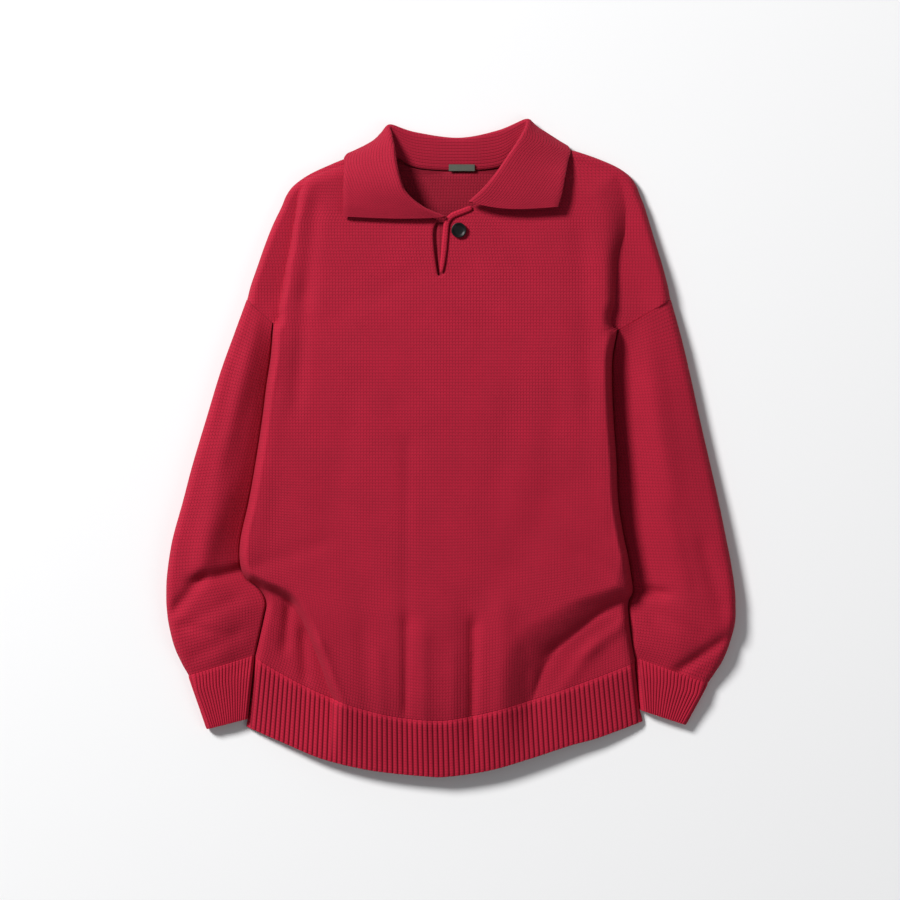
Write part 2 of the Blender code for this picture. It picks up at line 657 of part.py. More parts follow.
def ring(inner, outer, heights, places, inner_roll, outer_roll, fold_table):
    """One section of a flattened tube that rests on the surface."""
    inner, outer = np.array(inner), np.array(outer)
    width = math.hypot(*(outer - inner))
    first, last = inner_roll / width, 1 - outer_roll / width
    points = []
    for kind, t in places:
        if kind == "inner":
            angle = -math.pi / 2 + math.pi * t
            share, rise = first * (1 - math.cos(angle)), (1 + math.sin(angle)) / 2
        elif kind == "top":
            share, rise = first + (last - first) * t, 1.0
        elif kind == "outer":
            angle = math.pi / 2 - math.pi * t
            share, rise = last + (1 - last) * math.cos(angle), (1 + math.sin(angle)) / 2
        else:
            share, rise = last + (first - last) * t, 0.0
        place = inner + (outer - inner) * share
        crest = np.interp(share, [0, 0.25, 0.5, 0.75, 1.0],
                          [heights[0], 0.45 * heights[0] + 0.55 * heights[1], heights[1],
                           0.6 * heights[1] + 0.4 * heights[2], heights[2]])
        crest = crest + folds(fold_table, np.array(place[0]), np.array(place[1]))
        points.append((place[0], place[1], crest * rise))
    return points


def make_sleeve(name, table, fold_table, side, collection, material):
    places = ring_places(3, 6, 4, 3)
    shares = np.concatenate([np.linspace(0, 0.6, 10)[:-1], np.linspace(0.6, 0.92, 11)[:-1],
                             np.linspace(0.92, 1, 3)])
    dense = along(smooth_line([row[1:3] + row[:1] + row[3:] for row in table]), shares)
    body_side = SIDE_RIGHT_LINE if side > 0 else SIDE_LEFT_LINE
    rings = []
    for index, row in enumerate(dense):
        end_share = min(index / 3, (len(dense) - 1 - index) / 2, 1.0)
        inner_roll = SLEEVE_INNER_ROLL + SLEEVE_INNER_SWELL * end_share
        inner = (float(x_at(body_side, row[2])) + side * SLEEVE_CLEAR, row[2])
        rings.append(ring(inner, row[0:2], row[3:6], places, inner_roll, SLEEVE_OUTER_ROLL,
                          fold_table))
    points = np.array(rings)
    if side > 0:
        points = points[:, ::-1]
    item = add_object(name, grid_mesh(name, points, closed=True), collection, material)
    add_wall(item, SLEEVE_WALL)


def make_cuff(name, table, side, collection, material):
    places = ring_places(3, 2 * CUFF_RIBS, 3, 3)
    dense = smooth_line(table, 2)
    rings = []
    for index, row in enumerate(dense):
        share = index / (len(dense) - 1)
        top = CUFF_TOP + (CUFF_MOUTH - CUFF_TOP) * share
        edge = top - CUFF_EDGE_DROP * (1 + 3 * (1 - share))
        rings.append(ring(row[0:2], row[2:4], (edge, top, edge), places, CUFF_INNER_ROLL,
                          CUFF_OUTER_ROLL, []))
    points = np.array(rings)
    raised = np.zeros(points.shape[:2])
    raised[:, 4:3 + 2 * CUFF_RIBS:2] = CUFF_RIB_HEIGHT
    if side > 0:
        points, raised = points[:, ::-1], raised[:, ::-1]
    mesh = grid_mesh(name, points, closed=True, ribs=raised)
    item = add_object(name, mesh, collection, material)
    add_wall(item, RIB_WALL)
    finish_wall(item, on_surface)


def collar_section(row, stand_cells, fold_cells, fall_cells):
    """Points across the collar at one station, from the sewn edge over the fold to the free
    edge."""
    base, fold, edge = row[0:3], row[3:6], row[7:10]
    turn = math.radians(row[6])
    side = 1.0 if row[7] > 9 else -1.0
    out = np.array([side * 0.55, 0.835, 0.0])
    normal = math.cos(turn) * np.array([0, 0, 1.0]) + math.sin(turn) * out
    away = (base + edge) / 2 - fold
    away = away - normal * np.dot(away, normal)
    away = away / np.linalg.norm(away)
    points = []
    stand_end = fold - normal * FOLD_RADIUS
    fall_start = fold + normal * FOLD_RADIUS
    for t in np.arange(stand_cells) / stand_cells:
        points.append(base + (stand_end - base) * t)
    for t in np.arange(fold_cells) / fold_cells:
        angle = math.pi * t
        points.append(fold - normal * FOLD_RADIUS * math.cos(angle)
                      - away * FOLD_RADIUS * math.sin(angle))
    sink = 1.0 + 2.0 * float(soft_step((row[6] - 60) / 60))
    for t in np.linspace(0, 1, fall_cells + 1):
        point = fall_start + (edge - fall_start) * t
        point[2] = edge[2] + (fall_start[2] - edge[2]) * (1 - t) ** sink
        points.append(point)
    return points


def collar_points(round_cells, stand_cells, fold_cells, fall_cells):
    dense = smooth_line(COLLAR, 8)
    fold_line = dense[:, 3:5]
    steps = np.hypot(*np.diff(fold_line, axis=0).T) + 1.5
    length = np.concatenate([[0], np.cumsum(steps)])
    wanted = np.linspace(0, length[-1], round_cells + 1)
    stations = np.stack([np.interp(wanted, length, dense[:, c]) for c in range(10)], -1)
    return np.array([collar_section(row, stand_cells, fold_cells, fall_cells)
                     for row in stations])


def make_collar(collection, material):
    points = collar_points(COLLAR_CELLS_ROUND, COLLAR_CELLS_STAND, COLLAR_CELLS_FOLD,
                           COLLAR_CELLS_FALL)
    item = add_object("collar", grid_mesh("collar", points), collection, material)
    add_wall(item, COLLAR_WALL, 0.0)
    finish_wall(item, on_surface)
    return points


def make_placket(collection, band_material, edge_material):
    left, right, bottom, top = UNDER_BAND
    x, y = np.meshgrid(np.linspace(left, right, 9), np.linspace(bottom, top, 9))
    height = front_height(x, y) - WALL - 2 * GAP
    mesh = grid_mesh("placket_under_band", np.stack([x, y, height], -1))
    item = add_object("placket_under_band", mesh, collection, band_material)
    add_wall(item, BAND_WALL)

    path = along(smooth_line(EDGE_ROLL_PATH), np.linspace(0, 1, 22))
    height = front_height(path[:, 0], path[:, 1]) + 2 * GAP + EDGE_ROLL_RADIUS
    curve = bpy.data.curves.new("placket_edge", "CURVE")
    curve.dimensions = "3D"
    curve.bevel_depth = EDGE_ROLL_RADIUS * MM
    curve.bevel_resolution = 2
    curve.use_fill_caps = True
    spline = curve.splines.new("POLY")
    spline.points.add(len(path) - 1)
    for point, place, z in zip(spline.points, path, height):
        point.co = (place[0] * MM, place[1] * MM, z * MM, 1.0)
    add_object("placket_edge", curve, collection, edge_material)


def make_button(collection, material):
    """A turned button with a raised rim, on a short shank."""
    radius, rim = BUTTON_RADIUS, BUTTON_RIM
    base = SHANK_HEIGHT
    profile = [
        (0.0, base + BUTTON_HEIGHT - 1.2), (radius - 2.6 * rim, base + BUTTON_HEIGHT - 1.1),
        (radius - 1.3 * rim, base + BUTTON_HEIGHT - 0.2), (radius - rim, base + BUTTON_HEIGHT),
        (radius - 0.35 * rim, base + BUTTON_HEIGHT - 0.2), (radius, base + 1.9),
        (radius - 0.2, base + 1.1), (radius - 1.6, base), (SHANK_RADIUS, base),
        (SHANK_RADIUS, 0.0), (0.0, 0.0),
    ]
    mesh = bpy.data.meshes.new("button")
    mesh.from_pydata([(r * MM, 0, z * MM) for r, z in profile],
                     [(k, k + 1) for k in range(len(profile) - 1)], [])
    item = add_object("button", mesh, collection, material)
    turn = item.modifiers.new("turn", "SCREW")
    turn.steps = turn.render_steps = 28
    turn.use_merge_vertices = True
    turn.merge_threshold = 0.00005
    turn.use_smooth_shade = True
    x, y = BUTTON_AT
    seat = float(front_height(np.array(x), np.array(y))) + GAP
    item.location = (x * MM, y * MM, seat * MM)


def make_label(collection, material, collar):
    """A woven label on the inside of the collar's stand."""
    width, height, thickness = LABEL_SIZE
    x, y = np.meshgrid(LABEL_AT[0] + np.linspace(-0.5, 0.5, 7) * width,
                       LABEL_AT[1] + np.linspace(-0.5, 0.5, 3) * height)
    stand = collar[:, :COLLAR_CELLS_STAND + 1].reshape(-1, 3)
    near = stand[np.hypot(stand[:, 0] - LABEL_AT[0], stand[:, 1] - LABEL_AT[1]) < width]
    slope = np.polyfit(near[:, 1], near[:, 2], 1)
    z = np.polyval(slope, y) + COLLAR_WALL / 2 + 1.5 * GAP + thickness
    mesh = grid_mesh("neck_label", np.stack([x, y, z], -1))
    item = add_object("neck_label", mesh, collection, material)
    add_wall(item, thickness)


def main():
    clear_scene()
    collection = bpy.data.collections.new("collared_sweater")
    bpy.context.scene.collection.children.link(collection)
    knit = make_material("red knit", RED, 0.95)
    rib = make_material("red rib", RED, 0.95)
    band = make_material("red band", DARK_RED, 0.95)
    plastic = make_material("black plastic", BLACK, 0.25)
    woven = make_material("grey-green woven", GREY_GREEN, 0.8)

    front = make_front(collection, knit)
    make_back(collection, knit)
    make_hem(collection, rib, front)
    make_sleeve("sleeve_left", SLEEVE_LEFT, SLEEVE_FOLDS_LEFT, -1, collection, knit)
    make_sleeve("sleeve_right", SLEEVE_RIGHT, SLEEVE_FOLDS_RIGHT, 1, collection, knit)
    make_cuff("cuff_left", CUFF_LEFT, -1, collection, rib)
    make_cuff("cuff_right", CUFF_RIGHT, 1, collection, rib)
    collar = make_collar(collection, rib)
    make_placket(collection, band, rib)
    make_button(collection, plastic)
    make_label(collection, woven, collar)


main()
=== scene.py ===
# %% [markdown]
# # A knitted pullover with a polo collar, laid on its back
# The real pullover is knitted in pieces and sewn up: a front, a back, two sleeves, ribbed
# hems and cuffs, and a folded collar. The frame holds a plain solid for each piece. Here each
# solid gets a finer sheet of cloth in its place, with its creases, ribs and stitches.

# %% Load the frame
import bmesh
import bpy
import math
import numpy as np
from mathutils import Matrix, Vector


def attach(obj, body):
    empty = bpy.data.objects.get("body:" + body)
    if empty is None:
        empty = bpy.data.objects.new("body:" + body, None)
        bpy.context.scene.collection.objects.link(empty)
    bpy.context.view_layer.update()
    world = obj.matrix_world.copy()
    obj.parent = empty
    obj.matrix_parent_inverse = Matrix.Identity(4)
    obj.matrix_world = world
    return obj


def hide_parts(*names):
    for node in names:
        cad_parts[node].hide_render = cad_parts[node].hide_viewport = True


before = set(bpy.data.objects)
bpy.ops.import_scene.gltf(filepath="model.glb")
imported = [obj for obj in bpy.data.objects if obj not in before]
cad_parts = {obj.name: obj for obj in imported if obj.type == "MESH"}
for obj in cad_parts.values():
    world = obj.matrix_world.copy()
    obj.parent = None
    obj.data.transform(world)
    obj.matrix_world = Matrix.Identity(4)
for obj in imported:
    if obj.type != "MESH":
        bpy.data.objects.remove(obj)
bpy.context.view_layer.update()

MM = 0.001

# %% [markdown]
# ## Curves and tables
# All the outlines of the cloth are short tables of x and y in millimetres. A smooth curve
# through such a table could be a Blender curve, but a few lines of numpy give its points
# directly, and then the same curve can also steer heights and stitches.


# %% Curves through tables
def smooth_line(points, per_span=12):
    """Points along a smooth curve through the given ones, as an array of rows."""
    rows = np.array(points, dtype=float)
    ends = np.vstack([2 * rows[0] - rows[1], rows, 2 * rows[-1] - rows[-2]])
    out = []
    for k in range(len(rows) - 1):
        before, start, stop, after = ends[k], ends[k + 1], ends[k + 2], ends[k + 3]
        for t in np.arange(per_span) / per_span:
            curve = 2 * start + (stop - before) * t
            curve = curve + (2 * before - 5 * start + 4 * stop - after) * t * t
            curve = curve + (3 * start - before - 3 * stop + after) * t ** 3
            out.append(curve / 2)
    out.append(rows[-1])
    return np.array(out)


def running(steps):
    """Lengths so far, from 0 on, along the last axis."""
    start = np.zeros(steps.shape[:-1] + (1,))
    return np.concatenate([start, np.cumsum(steps, axis=-1)], axis=-1)


def along(line, share):
    """Points of a dense line at shares of its length."""
    steps = np.hypot(*np.diff(line[:, :2], axis=0).T)
    length = running(steps)
    wanted = np.asarray(share) * length[-1]
    return np.stack([np.interp(wanted, length, line[:, c]) for c in range(line.shape[1])], -1)


def x_at(line, y):
    return np.interp(y, line[:, 1], line[:, 0])


def quarter_round(t):
    t = np.clip(t, 0.0, 1.0)
    return np.sqrt(1 - (1 - t) ** 2)


def soft_step(t):
    t = np.clip(t, 0.0, 1.0)
    return t * t * (3 - 2 * t)


# %% Creases
def folds(table, x, y):
    """Sum of troughs and ridges, given as x0, y0, x1, y1, half width, height."""
    total = np.zeros_like(x)
    for x0, y0, x1, y1, half_width, height in table:
        length = math.hypot(x1 - x0, y1 - y0)
        ux, uy = (x1 - x0) / length, (y1 - y0) / length
        run = ((x - x0) * ux + (y - y0) * uy) / length
        off = (x - x0) * uy - (y - y0) * ux
        beyond = np.maximum(0, np.maximum(-run, run - 1)) * length
        total += height * np.exp(-(off / half_width) ** 2 - (beyond / (2 * half_width)) ** 2)
    return total


# %% [markdown]
# ## The body's outline
# The body is a flattened tube. Its sides bulge over the hem, most at the lower left, and its
# raised middle ends in a rolled edge that runs up from the hem on either side.

# %% Outlines of the body
SIDE_LEFT = smooth_line([
    (-227, -240), (-223, -221), (-217, -195), (-214, -177), (-222, -162), (-236, -151),
    (-243, -135), (-243, -106), (-233, -60), (-225, -14), (-218, 32), (-213, 72),
    (-208, 105), (-204, 143)])
SIDE_RIGHT = smooth_line([
    (213, -246), (209, -221), (205, -182), (210, -166), (208, -147), (204, -123),
    (199, -100), (193, -60), (191, -14), (187, 44), (186, 101), (191, 135)])
SHOULDER_LEFT = smooth_line([
    (-235, 171), (-231, 187), (-223, 210), (-215, 233), (-206, 256), (-195, 279),
    (-190, 291), (-181, 303), (-163, 315.5), (-137, 327.5), (-122, 333.5), (-108, 337.5),
    (-86, 344)])
SHOULDER_RIGHT = smooth_line([
    (253, 171), (250, 187), (244, 210), (237, 233), (230, 256), (223, 279),
    (218, 291), (214, 302), (206, 313.5), (191, 324), (169, 333.5), (152, 339.5), (141, 342.8),
    (127, 345.6), (98, 352)])
HEM_BOTTOM = smooth_line([
    (-236, -321), (-192, -340), (-148, -358), (-93, -371), (-28, -378), (-1, -378),
    (45, -371), (90, -358), (136, -343), (169, -334), (221, -315)])
SLIT_LEFT = [(-15, 198), (-19, 226), (-20, 250), (-15, 262)]
SLIT_RIGHT = [(-10, 198), (-7, 225), (-6, 248), (-5, 263)]
NECK_FRONT_LEFT = [(-15, 262), (-33, 268), (-48, 281), (-57, 296), (-64, 316), (-73, 336)]
NECK_FRONT_RIGHT = [(-5, 263), (1, 269), (14, 274), (30, 280), (47, 287.5), (63, 302),
                    (75, 322), (86, 344)]
NECK_BACK_LEFT = [(-3, 319), (-36, 321), (-57, 328), (-73, 336)]
NECK_BACK_RIGHT = [(21, 319), (54, 322), (73, 332), (86, 344)]
HEM_MIDDLE_LEFT = (-16, -313)
HEM_MIDDLE_RIGHT = (-9, -313)
BACK_MIDDLE_LEFT = [(-12, 180), (-8, 250), (-3, 319)]
BACK_MIDDLE_RIGHT = [(-4, 180), (4, 250), (21, 319)]

# %% The rolled edge of the raised middle
OUTSIDE = 262
EDGE_LEFT = smooth_line([
    (-126, -316), (-132, -296), (-140, -278), (-146, -262), (-152, -244), (-159, -227),
    (-167, -206), (-177, -189), (-185, -178), (-200, -168), (-213, -163), (-231, -154),
    (-OUTSIDE, -140), (-OUTSIDE, -120), (-OUTSIDE, 106), (-OUTSIDE, 126), (-203, 141),
    (-197, 164), (-192, 187),
    (-189, 210), (-184, 233), (-181, 256), (-177, 279), (-172, 300), (-158, 314), (-60, 345)], 6)
EDGE_RIGHT = smooth_line([
    (92, -305), (97, -284), (102, -267), (108, -250), (114, -238), (128, -227),
    (146, -212), (166, -195), (185, -184), (208, -171), (OUTSIDE, -150),
    (OUTSIDE, -130), (OUTSIDE, 100), (OUTSIDE, 120), (189, 136), (189, 170), (190, 193),
    (192, 222), (199, 245),
    (202, 268), (200, 291), (194, 308), (178, 322), (70, 352)], 6)
ARMPIT_LEFT_Y, ARMPIT_RIGHT_Y = 143, 135
SLEEVE_SLOPE = 0.42


def outline(y, side_line, shoulder_line, armpit_y, lean):
    """Outer x of the body at y, past the armhole as far as the armpit."""
    top = x_at(shoulder_line, y)
    first = shoulder_line[0]
    top = np.where(y < first[1], first[0] + lean * (y - first[1]), top)
    return np.where(y > armpit_y, top, x_at(side_line, y))


def outline_left(y):
    return outline(y, SIDE_LEFT, SHOULDER_LEFT, ARMPIT_LEFT_Y, SLEEVE_SLOPE)


def outline_right(y):
    return outline(y, SIDE_RIGHT, SHOULDER_RIGHT, ARMPIT_RIGHT_Y, -SLEEVE_SLOPE)


def edge_left(y):
    return np.maximum(x_at(EDGE_LEFT, y), outline_left(y))


def edge_right(y):
    return np.minimum(x_at(EDGE_RIGHT, y), outline_right(y))


# %% Distance from a line
def distance_in(line, x, y, side):
    """Distance from a line that climbs in y, positive on its inner side."""
    steps = np.hypot(*np.diff(line[:, :2], axis=0).T)
    dense = along(line, np.linspace(0, 1, int(steps.sum() / 3) + 2))
    flat_x, flat_y = np.ravel(x).astype(float), np.ravel(y).astype(float)
    nearest = np.full(flat_x.shape, 1e9)
    for start, stop in zip(dense[:-1], dense[1:]):
        run = stop - start
        t = ((flat_x - start[0]) * run[0] + (flat_y - start[1]) * run[1]) / (run @ run)
        t = np.clip(t, 0, 1)
        nearest = np.minimum(nearest, np.hypot(flat_x - start[0] - t * run[0],
                                               flat_y - start[1] - t * run[1]))
    inside = np.where((flat_x - x_at(dense, flat_y)) * side < 0, 1.0, -1.0)
    return (nearest * inside).reshape(np.shape(x))


def shoulder_with_sleeve(line, side):
    """The shoulder line, led on below the armhole."""
    first = line[0]
    return np.vstack([[first[0] + side * SLEEVE_SLOPE * 60, first[1] - 60], line])


SLEEVE_SHOULDER_LEFT = shoulder_with_sleeve(SHOULDER_LEFT, -1)
SLEEVE_SHOULDER_RIGHT = shoulder_with_sleeve(SHOULDER_RIGHT, 1)
EDGE_Y = np.concatenate([np.arange(-330, -120, 3), np.arange(-120, 120, 8), np.arange(120, 372, 3)])
EDGE_LINE_LEFT = np.column_stack([edge_left(EDGE_Y), EDGE_Y])
EDGE_LINE_RIGHT = np.column_stack([edge_right(EDGE_Y), EDGE_Y])


# %% [markdown]
# ## The height of the cloth
# A garment that lies on a table is a height field: each place x, y has one height. A cloth
# simulation would give creases of its own, not those of the photograph, so the heights are
# given: a crowned middle, rounded sides, and a table of creases.

# %% Levels of the body
WALL, RIB_WALL, SLEEVE_WALL, GAP = 2.5, 2.2, 2.3, 0.3
BASE = WALL + GAP
LEVELS = smooth_line([
    (-320, 27, 13), (-295, 34, 14), (-265, 39, 15), (-230, 42, 17), (-195, 44, 20),
    (-160, 44, 22), (-60, 44, 22), (60, 42, 22), (143, 38, 22), (180, 35, 20),
    (225, 31, 18), (265, 28, 16), (300, 24, 14), (325, 19, 13), (350, 13, 11)])
EDGE_WIDTHS = np.array([
    (-320, 13, 36, 1.0, 0.1), (-250, 12, 44, 1.0, 0.1), (-205, 12, 42, 1.0, 0.3),
    (-180, 12, 34, 0.9, 0.9), (-155, 12, 20, 0.4, 0.9), (-125, 13, 11, 0.0, 0.0),
    (110, 12, 12, 0.1, 0.0), (150, 9, 12, 0.2, 0.0), (225, 8, 15, 0.6, 0.0),
    (260, 8, 22, 1.0, 0.0), (290, 11, 34, 1.0, 0.0), (320, 14, 36, 1.0, 0.0),
    (350, 20, 30, 1.0, 1.0)])
SIDE_ROLL, SHOULDER_ROLL = 11.0, 8.0
# The strip at the lower right lies this much higher, from this x and this y on.
LOW_RIGHT, LOW_RIGHT_X, LOW_RIGHT_Y = 7.0, 50, -160
CROWN_DROP, BODY_HALF = 3.0, 230        # the crown sinks this much at this distance
UNDER_LIFT, LIFT_AT, LIFT_REACH = 3.5, (9.0, 342.0), (152.0, 68.0)


def level(table, column, y):
    return np.interp(y, table[:, 0], table[:, column])


def back_lift(x, y, spread=1.0):
    """How far the back rises to lie on the part of the collar that is under it."""
    reach = np.hypot((x - LIFT_AT[0]) / LIFT_REACH[0], (y - LIFT_AT[1]) / LIFT_REACH[1])
    return UNDER_LIFT * (1 - soft_step((reach / spread - 1) / 0.3))


def front_base(x, y):
    return back_lift(x, y, 1.08) + BASE


# %% Creases of the front
FRONT_FOLDS = [
    (-50, 0, -51, -200, 7, -1.2), (-51, -200, -52, -300, 6, -2.6),
    (-32, -215, -31, -313, 8, 2.0), (26, -205, 24, -309, 6.5, -5.2), (17, -195, 14, -306, 12, -2.2),
    (58, -190, 62, -301, 14, 3.0), (-186, -178, -191, -225, 6, -4.0),
    (-170, -218, -168, -262, 6, -3.5), (-156, 274, -167, 180, 9, -2.4),
    (-167, 180, -176, 60, 10, -2.2), (150, 240, 160, 60, 14, -1.8),
    (-130, -80, -90, -190, 22, -1.6), (120, -60, 60, -150, 26, -1.8),
    (-100, 190, 40, 120, 26, -1.4)]
SMALL_FOLDS = [
    (-172, -190, -150, -226, 6, 1.6), (-150, -226, -124, -300, 6, 2.2),
    (206, -196, 160, -232, 7, 2.6), (160, -232, 118, -290, 8, 2.2),
    (178, -184, 120, -228, 5, -1.6), (116, -232, 98, -280, 5, -1.4),
    (-51, -205, -52, -296, 3, -1.4), (26, -208, 25, -305, 3.5, -1.6),
    (-100, -215, -96, -305, 9, -1.2), (-82, -240, -80, -308, 7, 1.0),
    (4, -240, 3, -310, 7, 1.2), (84, -235, 88, -296, 6, -1.0),
    (-218, -200, -224, -238, 4, -1.6), (-205, 60, -228, -90, 7, -1.2),
    (180, 60, 186, -90, 7, -1.0), (150, -120, 196, -150, 9, -1.6),
    (-150, -110, -226, -136, 10, -1.2), (-120, 160, -60, 190, 14, -0.9),
    (60, 230, 130, 180, 12, -1.0), (20, 190, 90, 110, 16, -0.8),
    (-60, 40, -20, -90, 20, -0.9), (70, 40, 40, -100, 18, -0.8),
    (-110, 60, -140, -60, 16, -0.8), (120, 60, 110, -40, 16, -0.8)]


def side_fall(x, y, side_line, shoulder_line, armpit_y, side, roll):
    """Distance from the side, and how far the cloth has fallen there, from 0 to 1.

    Below the armpit the side falls to the surface, less and less towards the armpit, where
    it is sewn to the sleeve. Above it the shoulder falls.
    """
    from_side = distance_in(side_line, x, y, side)
    from_shoulder = distance_in(shoulder_line, x, y, side)
    wall = soft_step((armpit_y - y) / 40)
    fall = (1 - quarter_round(from_side / roll)) * wall + 1 - quarter_round(from_shoulder / roll)
    share = soft_step((y - armpit_y + 25) / 50)
    return from_side * (1 - share) + from_shoulder * share, np.clip(fall, 0, 1)


def front_height(x, y):
    """Top of the front of the body."""
    base = front_base(x, y)
    middle, sides = level(LEVELS, 1, y), level(LEVELS, 2, y)
    sides = sides + LOW_RIGHT * soft_step((x - LOW_RIGHT_X) / 50) * soft_step((LOW_RIGHT_Y - y) / 40)
    roll = SIDE_ROLL + (SHOULDER_ROLL - SIDE_ROLL) * soft_step((y - 165.0) / 30)
    in_left, fall_left = side_fall(x, y, SIDE_LEFT, SLEEVE_SHOULDER_LEFT, ARMPIT_LEFT_Y, -1, roll)
    in_right, fall_right = side_fall(x, y, SIDE_RIGHT, SLEEVE_SHOULDER_RIGHT, ARMPIT_RIGHT_Y, 1,
                                     roll)
    low = (sides - base) * (1 - fall_left) * (1 - fall_right)
    soft = level(EDGE_WIDTHS, 3, y)
    t_left = np.maximum(0, distance_in(EDGE_LINE_LEFT, x, y, -1)) / level(EDGE_WIDTHS, 1, y)
    t_right = np.maximum(0, distance_in(EDGE_LINE_RIGHT, x, y, 1)) / level(EDGE_WIDTHS, 2, y)
    soft_left = level(EDGE_WIDTHS, 4, y)
    rise_left = (1 - soft_left) * quarter_round(t_left) + soft_left * soft_step(t_left ** 0.85)
    t_soft = t_right * t_right / (t_right + 0.1)
    rise_right = (1 - soft) * quarter_round(t_right) + soft * (1 - np.clip(1 - t_soft, 0, 1) ** 1.8)
    high = (middle - sides) * rise_left * rise_right
    near = np.minimum(in_left, in_right)
    crown = -CROWN_DROP * (x / BODY_HALF) ** 2 * soft_step(near / 40)
    crease = (folds(FRONT_FOLDS, x, y) + folds(SMALL_FOLDS, x, y)) * soft_step(near / 14)
    return base + low + high + crown + crease


def front_inside(x, y):
    return front_height(x, y) - 0.85 * WALL


# %% The turned-under foot of a side
TUCK = 2.6


def tuck_under(points, reach, amount):
    """Pull the foot of the rounded sides in, so that the cloth bulges above it.

    reach is how high the foot is and amount how far each row is pulled, from 0 to 1.
    """
    middle = points.shape[1] // 2
    height = np.clip((points[..., 2] - BASE) / np.asarray(reach)[:, None], 0, 1)
    inset = TUCK * (1 - height) ** 2 * np.asarray(amount)[:, None]
    from_side = np.minimum(points[..., 0] - points[:, :1, 0], points[:, -1:, 0] - points[..., 0])
    inset = inset * (from_side < 20)
    points[:, :middle, 0] += inset[:, :middle]
    points[:, middle:, 0] -= inset[:, middle:]


# %% [markdown]
# ## The body's grid
# The cloth is one grid of points between the outer lines, with columns close together where
# the cloth turns. A plain grid could be added with an operator and moved into place, but its
# rows are courses of knitting here, so they are laid between the two outlines by number.

# %% Rows and columns of the body
ROW_KNOTS = (0.0, 0.60, 0.67, 1.0)        # hem, armpit, top of armhole, neck
SLIT_START, SLIT_END, BACK_MIDDLE_START = 0.725, 0.82, 0.70


def outer_line(side_line, shoulder_line, v):
    side = along(side_line, np.clip(v / ROW_KNOTS[1], 0, 1))
    seam_share = np.clip((v - ROW_KNOTS[1]) / (ROW_KNOTS[2] - ROW_KNOTS[1]), 0, 1)[:, None]
    seam = side_line[-1] * (1 - seam_share) + shoulder_line[0] * seam_share
    shoulder = along(shoulder_line, np.clip((v - ROW_KNOTS[2]) / (1 - ROW_KNOTS[2]), 0, 1))
    return np.where(v[:, None] < ROW_KNOTS[1], side,
                    np.where(v[:, None] < ROW_KNOTS[2], seam, shoulder))


def inner_line(bottom, slit, neck, v, slit_start):
    body_share = np.clip(v / slit_start, 0, 1)[:, None]
    body = np.array(bottom) * (1 - body_share) + np.array(slit[0]) * body_share
    up = along(smooth_line(slit), np.clip((v - slit_start) / (SLIT_END - slit_start), 0, 1))
    neck_part = along(smooth_line(neck), np.clip((v - SLIT_END) / (1 - SLIT_END), 0, 1))
    return np.where(v[:, None] < slit_start, body, np.where(v[:, None] < SLIT_END, up, neck_part))


def column_shares(outer, inner, edge_at, cells):
    """Shares along one row: the rounded side, the low side, the rolled edge, the rest."""
    length = abs(inner[0] - outer[0])
    turn = min(SHOULDER_ROLL, 0.14 * length)
    edge = min(max(abs(edge_at - outer[0]), turn + 8.0), 0.62 * length)
    edge = max(edge, 0.30 * length if length < 60 else 0)
    past = min(edge + 14.0, 0.80 * length)
    angles = np.linspace(0, math.pi / 2, cells[0] + 1)
    rise = np.linspace(0, math.pi / 2, cells[2] + 1)[1:]
    stops = list(turn * (1 - np.cos(angles)))
    stops += list(np.linspace(turn, edge, cells[1] + 1)[1:])
    stops += list(edge + (past - edge) * (1 - np.cos(rise)))
    stops += list(np.linspace(past, length, cells[3] + 1)[1:])
    return np.array(stops) / length


def half_body(outer, inner, edge_at_y, bow, cells):
    rows = []
    for start, stop, amount in zip(outer, inner, bow):
        reach_y = start[1]
        for _ in range(3):
            edge_x = float(edge_at_y(np.array(reach_y)))
            share = abs(edge_x - start[0]) / max(1.0, abs(stop[0] - start[0]))
            reach_y = start[1] + (stop[1] - start[1]) * min(1.0, share)
        shares = column_shares(start, stop, edge_x, cells)
        eased = 1 - (1 - shares) ** amount
        rows.append(np.stack([start[0] + (stop[0] - start[0]) * shares,
                              start[1] + (stop[1] - start[1]) * eased], -1))
    return np.array(rows)


def body_grid(neck_left, neck_right, slit_left, slit_right, slit_start, v, cells):
    """The x, y grid of a whole panel, and the column after which its slit lies."""
    left_outer = outer_line(SIDE_LEFT, SHOULDER_LEFT, v)
    right_outer = outer_line(SIDE_RIGHT, SHOULDER_RIGHT, v)
    left_inner = inner_line(HEM_MIDDLE_LEFT, slit_left, neck_left, v, slit_start)
    right_inner = inner_line(HEM_MIDDLE_RIGHT, slit_right, neck_right, v, slit_start)
    fade = np.clip(1 - v / 0.35, 0, 1)
    left = half_body(left_outer, left_inner, edge_left, 1 + 0.9 * fade, cells)
    right = half_body(right_outer, right_inner, edge_right, 1 + 0.35 * fade, cells)
    return np.concatenate([left, right[:, ::-1]], axis=1), left.shape[1] - 1


# %% [markdown]
# ## Cloth from a grid
# A grid of points becomes a mesh with one face for each cell. Its UV map is counted in
# stitches: one unit across is one wale and one unit up is one course, so a material can
# draw each stitch. The Solidify modifier then gives the cloth its wall.

# %% Make a mesh from a grid of points
def select_only(item):
    bpy.ops.object.select_all(action="DESELECT")
    item.select_set(True)
    bpy.context.view_layer.objects.active = item


